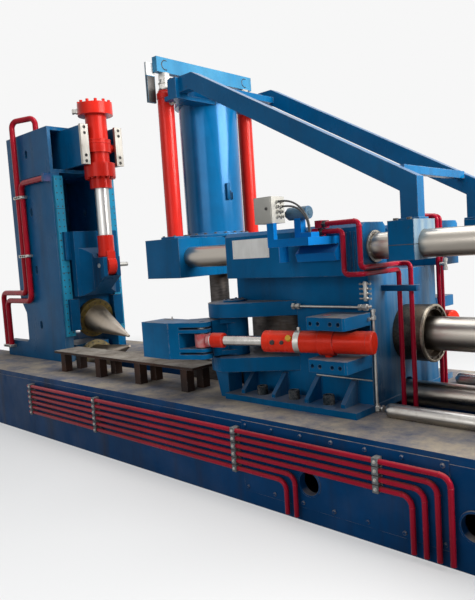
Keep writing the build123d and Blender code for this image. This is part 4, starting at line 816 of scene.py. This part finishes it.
# Centring arms
# Fabricated swinging arms: a bored drum, fork plates for the cylinder's eye and a roll in the end block.
# Turned keepers hold the eye pin, and a grease nipple stands on the end block.
arm_blue = enamel("arm_enamel", (0.0015, 0.155, 0.37), blue_shade, dust=0.55, streaks=0.25, wear=0.7,
    edge=0.008)
dress(arm_blue, "near_arm", "far_arm")
dress(pin_steel, "near_eye_pin", "far_eye_pin")
dress(scale_iron, "near_centring_roll", "far_centring_roll")
eye_x, eye_y, eye_z = 0.79, 1.02, 1.25
for side, name in ((-1, "near"), (1, "far")):
    pin_low, pin_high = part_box(name + "_eye_pin")
    keepers = [
        turned([(0.040, 0.0005), (0.040, 0.010), (0.034, 0.013), (0.010, 0.013), (0.009, 0.006)],
            (eye_x, side * eye_y, pin_high.z), up, 40),
        turned([(0.040, 0.0005), (0.040, 0.008), (0.036, 0.010)], (eye_x, side * eye_y, pin_low.z), -up, 40)]
    finish(keepers, name + "_eye_keepers", pin_steel, name + "_arm")
    nipple = turned([(0.010, 0), (0.010, 0.010), (0.005, 0.014), (0.005, 0.022), (0.007, 0.025)],
        (0.36, side * 0.975, 1.405), up, 8)
    finish(nipple, "nipple", zinc, name + "_arm")

# Arm cylinders
# Orange enamelled cylinders on trunnion pins, with a steel clamp band, plugged ports and a yellow cap.
# The rods are chromed, and their eyes carry worn red paint.
arm_orange = enamel("arm_cylinder_enamel", (0.90, 0.040, 0.014), (0.68, 0.024, 0.010), dust=0.25,
    streaks=0.1, wear=0.4, gloss=0.22, edge=0.010, shine=0.35)
yellow = speckled("yellow_cap_plastic", 30.0, (0.72, 0.40, 0.010), (0.55, 0.27, 0.008), 0.4)
dress(arm_orange, "near_arm_cylinder", "far_arm_cylinder")


def painted_eye_rod(name, eye):
    material, tree, shader = new_finish(name)
    reach = add(tree, "VectorMath", {0: object_place(tree), 1: eye}, operation="DISTANCE").outputs["Value"]
    painted = between(tree, reach, 0.112, 0.108)
    smear = cloud(tree, (0.3, 0.7), 14.0, detail=6.0)
    steel = blend(tree, smear, (0.44, 0.42, 0.39), (0.60, 0.58, 0.55))
    flaked = cloud(tree, (0.42, 0.62), 18.0, detail=7.0, roughness=0.7)
    paint = blend(tree, flaked, (0.50, 0.045, 0.050), (0.52, 0.240, 0.230))
    feed(tree, shader, {
        "Base Color": blend(tree, painted, steel, paint),
        "Metallic": between(tree, painted, 0.0, 1.0, 1.0, 0.1),
        "Roughness": between(tree, painted, 0.0, 1.0, 0.20, 0.42),
        "Normal": worn_edges(tree, 0.005)[0],
    })
    return material


barrel_radius, end_radius, band_radius, sleeve_bore = 0.085, 0.0865, 0.0885, 0.0435
trunnion_x, trunnion_y = 1.88, 0.75
sleeve_at, head_at, cap_at, band_at, lug_at, tail_at = 0.100, 0.596, 0.832, 0.862, 0.886, 1.428
for side, name in ((-1, "near"), (1, "far")):
    body = name + "_cylinder"
    eye = Vector((eye_x, side * eye_y, eye_z))
    dress(painted_eye_rod(name + "_arm_rod_finish", eye), name + "_arm_rod")
    way = (Vector((trunnion_x, side * trunnion_y, eye_z)) - eye).normalized()
    out = up.cross(way).normalized()
    if out.y * side < 0:
        out = -out
    band = turned([(barrel_radius, 0), (band_radius, 0.001), (band_radius, 0.047), (barrel_radius, 0.048)],
        eye + way * band_at, way, 56)
    lug = block((-0.012, -0.010, -0.020), (0.012, 0.010, 0.020), 0.003)
    lug.location = eye + way * lug_at + up * 0.094
    finish([band, lug], body + "_band", zinc, body)
    plugs = []
    for reach, radius in ((0.694, 0.017), (0.775, 0.014)):
        foot = eye + way * reach + out * (barrel_radius - 0.006) + up * 0.005
        plugs.append(turned([(radius * 1.25, 0), (radius * 1.25, 0.012), (radius, 0.014), (radius, 0.024),
            (radius * 0.5, 0.024), (radius * 0.45, 0.018)], foot, out, 6))
    finish(plugs, body + "_plugs", blackened, body)
    yellow_cap = turned([(0.024, 0), (0.024, 0.022), (0.020, 0.027), (0.008, 0.027)],
        eye + way * cap_at + out * 0.074 + up * 0.034, (out + up * 0.45).normalized(), 24)
    finish(yellow_cap, name + "_yellow_cap", yellow, body)
    head = turned([(0.045, -0.006), (0.076, -0.006), (0.080, 0.0), (end_radius, 0.001), (end_radius, 0.060),
        (barrel_radius, 0.061)], eye + way * head_at, way, 56)
    tail = turned([(barrel_radius, 0), (end_radius, 0.001), (end_radius, 0.040), (0.080, 0.048),
        (0.030, 0.048)], eye + way * tail_at, way, 56)
    finish([head, tail], body + "_rings", arm_orange, body)
    sleeve = turned([(sleeve_bore, 0), (0.062, 0.001), (0.062, 0.108), (0.056, 0.114), (sleeve_bore, 0.114)],
        eye + way * sleeve_at, way, 48)
    finish(sleeve, name + "_rod_sleeve", arm_orange, name + "_rod")

# Support tables
# Dark steel tables on short legs that carry the ring while it is rolled, rusted where the hot work slides.
rust_plate = enamel("table_scale", (0.030, 0.026, 0.026), (0.075, 0.034, 0.020), dust=1.0, streaks=0.3,
    wear=0.9, gloss=0.55, edge=0.005, dust_colour=(0.44, 0.39, 0.33))
dress(rust_plate, "support_tables")

# Bare plate
# A blank aluminium plate on the near guide housing, held by drive screws at its corners.
plate_metal = speckled("plate_aluminium", 9.0, (0.66, 0.66, 0.64), (0.50, 0.49, 0.47), 0.38, 0.35, 6.0, 0.35,
    0.7, (1, 1, 0.3))
dress(plate_metal, "name_plate")
plate_low, plate_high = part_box("name_plate")
corner = 0.014
drive_spots = [((x, plate_low.y + 0.0005, z), -across) for x in (plate_low.x + corner, plate_high.x - corner)
    for z in (plate_low.z + corner, plate_high.z - corner)]
drive = turned([(0.005, 0), (0.0048, 0.0015), (0.003, 0.0028)], sides=14)
finish(repeat(drive, drive_spots), "plate_drive_screws", zinc, "frame")

# Sensor bracket, control box and cables
# A folded and welded bracket in bright blue with an encoder, under a grey steel box with cable glands.
# The two black cables run from the top glands into the sensor block.
bracket_blue = enamel("bracket_enamel", (0.001, 0.200, 0.58), (0.001, 0.13, 0.40), dust=0.2, streaks=0.1,
    wear=0.5, edge=0.004)
dress(bracket_blue, "sensor_bracket")
box_grey = enamel("box_grey_enamel", (0.50, 0.49, 0.45), (0.42, 0.41, 0.37), dust=0.3, streaks=0.2,
    wear=0.25, gloss=0.35, edge=0.004)
dress(box_grey, "control_box")
case_low, case_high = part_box("control_box")
case_right = case_high.x - 0.016
door_gap, gland_column, gland_row = 0.006, 0.044, 0.036
door = block((case_low.x + door_gap, case_low.y - 0.004, case_low.z + door_gap),
    (case_right - door_gap, case_low.y + 0.002, case_high.z - door_gap))
finish(door, "box_door", box_grey, "frame")
gland_spots = [((case_right + 0.0005, case_low.y + 0.061 + column * gland_column,
    case_low.z + 0.045 + row * gland_row), along) for column in range(2) for row in range(4)]
gland = turned([(0.0088, 0), (0.0088, 0.0165), (0.0080, 0.0180), (0.0050, 0.0180)], sides=12)
screw_on(gland, gland_spots, "box_glands", "frame")
lock = turned([(0.011, 0), (0.011, 0.008), (0.008, 0.011), (0.003, 0.011)],
    (case_low.x + 0.120, case_low.y - 0.0035, case_low.z + 0.105), -across, 20)
finish(lock, "box_lock", blackened, "frame")
encoder_grey = enamel("encoder_enamel", (0.10, 0.19, 0.26), (0.07, 0.13, 0.19), dust=0.3, streaks=0.0,
    wear=0.3)
encoder_y, encoder_z = -0.900, 2.220
encoder = turned([(0.030, 0), (0.0475, 0.004), (0.0475, 0.060), (0.0490, 0.062), (0.0490, 0.070),
    (0.0475, 0.072), (0.0475, 0.178), (0.043, 0.184), (0.022, 0.184), (0.020, 0.188)],
    (1.698, encoder_y, encoder_z), along, 40)
finish(encoder, "encoder_case", encoder_grey, "frame")
encoder_cup = turned([(0.014, 0), (0.026, 0.004), (0.030, 0.022), (0.024, 0.030)],
    (1.700, encoder_y, encoder_z), -along, 24)
finish(encoder_cup, "encoder_cup", blackened, "frame")
cable_black = speckled("cable_sheath", 40.0, (0.012, 0.012, 0.013), (0.030, 0.029, 0.028), 0.5)
outer_route = [(1.751, -1.084, 2.308), (1.829, -1.084, 2.308), (1.912, -1.077, 2.272),
    (1.971, -1.067, 2.206), (1.996, -1.060, 2.134), (1.996, -1.060, 2.072)]
inner_route = [(1.751, -1.040, 2.272), (1.820, -1.040, 2.272), (1.889, -1.033, 2.245),
    (1.935, -1.022, 2.189), (1.956, -1.016, 2.128), (1.956, -1.016, 2.072)]
for name, route, reach in (("outer_cable", outer_route, 0.375), ("inner_cable", inner_route, 0.315)):
    line = bpy.data.curves.new(name + "_line", "CURVE")
    line.dimensions = "3D"
    line.bevel_depth = 0.007
    line.bevel_resolution = 4
    line.use_fill_caps = True
    line.resolution_u = 16
    spline = line.splines.new("NURBS")
    spline.points.add(len(route) - 1)
    for point, place in zip(spline.points, route):
        point.co = place + (1.0,)
    spline.order_u = 3
    spline.use_endpoint_u = True
    cable = bpy.data.objects.new(name + "_sheath", line)
    bpy.context.scene.collection.objects.link(cable)
    cable.data.materials.append(cable_black)
    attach(cable, "frame")
    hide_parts(name)
    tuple(route[0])

# Housing pipes
# Crimson lines from port blocks behind the housings, carried down beside the ring in a clamp bar.
# Beads of weld go round the ends of their bends, and a zinc plated tee stands at the far side.
port_y, port_z, drop_y = -0.85, 2.072, -0.33
feed_welds = [((2.084, port_y, port_z), along), ((2.12, port_y, 2.036), -up), ((2.12, port_y, 1.796), -up),
    ((2.156, port_y, 1.76), along), ((2.220, port_y, 2.128), along), ((2.256, port_y, 2.092), -up),
    ((2.256, port_y, 1.841), -up), ((2.256, -0.814, 1.805), across), ((2.256, drop_y, 1.724), -up),
    ((2.352, drop_y, 1.769), -up)]
finish(repeat(pipe_weld(), feed_welds), "housing_pipe_welds", crimson, "frame")
clamp_bar = block((2.118, drop_y - 0.0345, 1.5985), (2.4085, drop_y + 0.0345, 1.6435), 0.004)
finish(clamp_bar, "feed_clamp_bar", slide_blue, "frame")
tee_y = 0.330
tee = [
    turned([(0.014, 0.0), (0.014, 0.020), (0.020, 0.022), (0.020, 0.046)], (2.272, tee_y, 1.760), along, 16),
    turned([(0.014, 0.0), (0.021, 0.003), (0.021, 0.028), (0.016, 0.030), (0.016, 0.072), (0.021, 0.074),
        (0.021, 0.098), (0.012, 0.103)], (2.318, tee_y, 1.708), up, 8)]
finish(tee, "feed_tee", zinc, "frame")
port_nuts = [turned([(0.027, 0), (0.027, 0.026), (0.024, 0.029), (0.0195, 0.029)],
    (1.930 + index * 0.030, port_y, port_z + index * 0.056), along, 6) for index in range(2)]
finish(port_nuts, "port_nuts", blackened, "frame")

# Studio
# A pale floor that stands in for the workshop, soft lamps where the windows are, and the camera.
# Floor and sky show pale to the camera and in reflections, and are darker for the light they throw back.


def straight_rays(tree):
    path = add(tree, "LightPath").outputs
    shown = calc(tree, path["Is Camera Ray"], path["Is Glossy Ray"], "ADD")
    return path["Is Camera Ray"], calc(tree, shown, path["Is Transmission Ray"], "ADD")


let_go()
bpy.ops.mesh.primitive_plane_add(size=120, location=(0, 0, 0))
floor = bpy.context.object
floor.name = "studio_floor"
floor_pale, tree, shader = new_finish("studio_floor_pale")
seen, shown = straight_rays(tree)
feed(tree, shader, {"Roughness": 0.95, "Specular IOR Level": 0.0,
    "Base Color": blend(tree, seen, (0.34, 0.34, 0.34), (0.74, 0.74, 0.74))})
away = add(tree, "VectorMath", {0: object_place(tree)}, operation="LENGTH").outputs["Value"]
horizon_white = (0.93, 0.93, 0.93)
white = add(tree, "Emission", {"Color": horizon_white})
fade = add(tree, "MixShader", {"Fac": calc(tree, between(tree, away, 5.0, 9.5, 0.45, 1.0), shown),
    1: shader.outputs["BSDF"], 2: white.outputs["Emission"]})
feed(tree, tree.nodes["Material Output"], {"Surface": fade.outputs["Shader"]})
floor.data.materials.append(floor_pale)
floor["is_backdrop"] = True

world = bpy.data.worlds.new("studio_sky")
bpy.context.scene.world = world
world.use_nodes = True
tree = world.node_tree
backdrop = tree.nodes["Background"]
feed(tree, backdrop, {"Color": (0.62, 0.66, 0.72), "Strength": 0.24})
pale = add(tree, "Background", {"Color": horizon_white, "Strength": 1.0})
choice = add(tree, "MixShader", {"Fac": straight_rays(tree)[1], 1: backdrop.outputs["Background"],
    2: pale.outputs["Background"]})
feed(tree, tree.nodes["World Output"], {"Surface": choice.outputs["Shader"]})


def lamp(name, place, target, width, height, power, colour=(1, 1, 1)):
    data = bpy.data.lights.new(name, "AREA")
    data.shape = "RECTANGLE"
    data.size = width
    data.size_y = height
    data.energy = power
    data.color = colour
    lamp_object = bpy.data.objects.new(name, data)
    lamp_object.location = place
    lamp_object.rotation_euler = (Vector(target) - Vector(place)).to_track_quat("-Z", "Y").to_euler()
    bpy.context.scene.collection.objects.link(lamp_object)


lamp("window_lamp", (9.5, 2.0, 5.5), (0.0, 0.0, 1.4), 7.0, 4.0, 1900, (1.0, 0.98, 0.95))
lamp("roof_lamp", (0.5, 0.5, 8.5), (0.0, 0.0, 1.0), 9.0, 5.0, 430, (0.95, 0.98, 1.0))
lamp("door_lamp", (2.0, -9.0, 4.0), (0.0, 0.0, 1.2), 5.0, 3.0, 170)

camera_data = bpy.data.cameras.new("photo_camera")
camera_data.lens = 36.44
camera_data.sensor_width = 36.0
camera = bpy.data.objects.new("photo_camera", camera_data)
camera.location = (4.525, -4.465, 1.975)
heading, dip, roll = math.radians(43.77), math.radians(4.6), math.radians(-3.76)
turn_to = Euler((0, 0, heading)).to_matrix() @ Euler((math.pi / 2 - dip, 0, 0)).to_matrix()
camera.rotation_euler = (turn_to @ Euler((0, 0, roll)).to_matrix()).to_euler()
bpy.context.scene.collection.objects.link(camera)
bpy.context.scene.camera = camera
bpy.context.scene.view_settings.view_transform = "Standard"

low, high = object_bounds()
list(low)
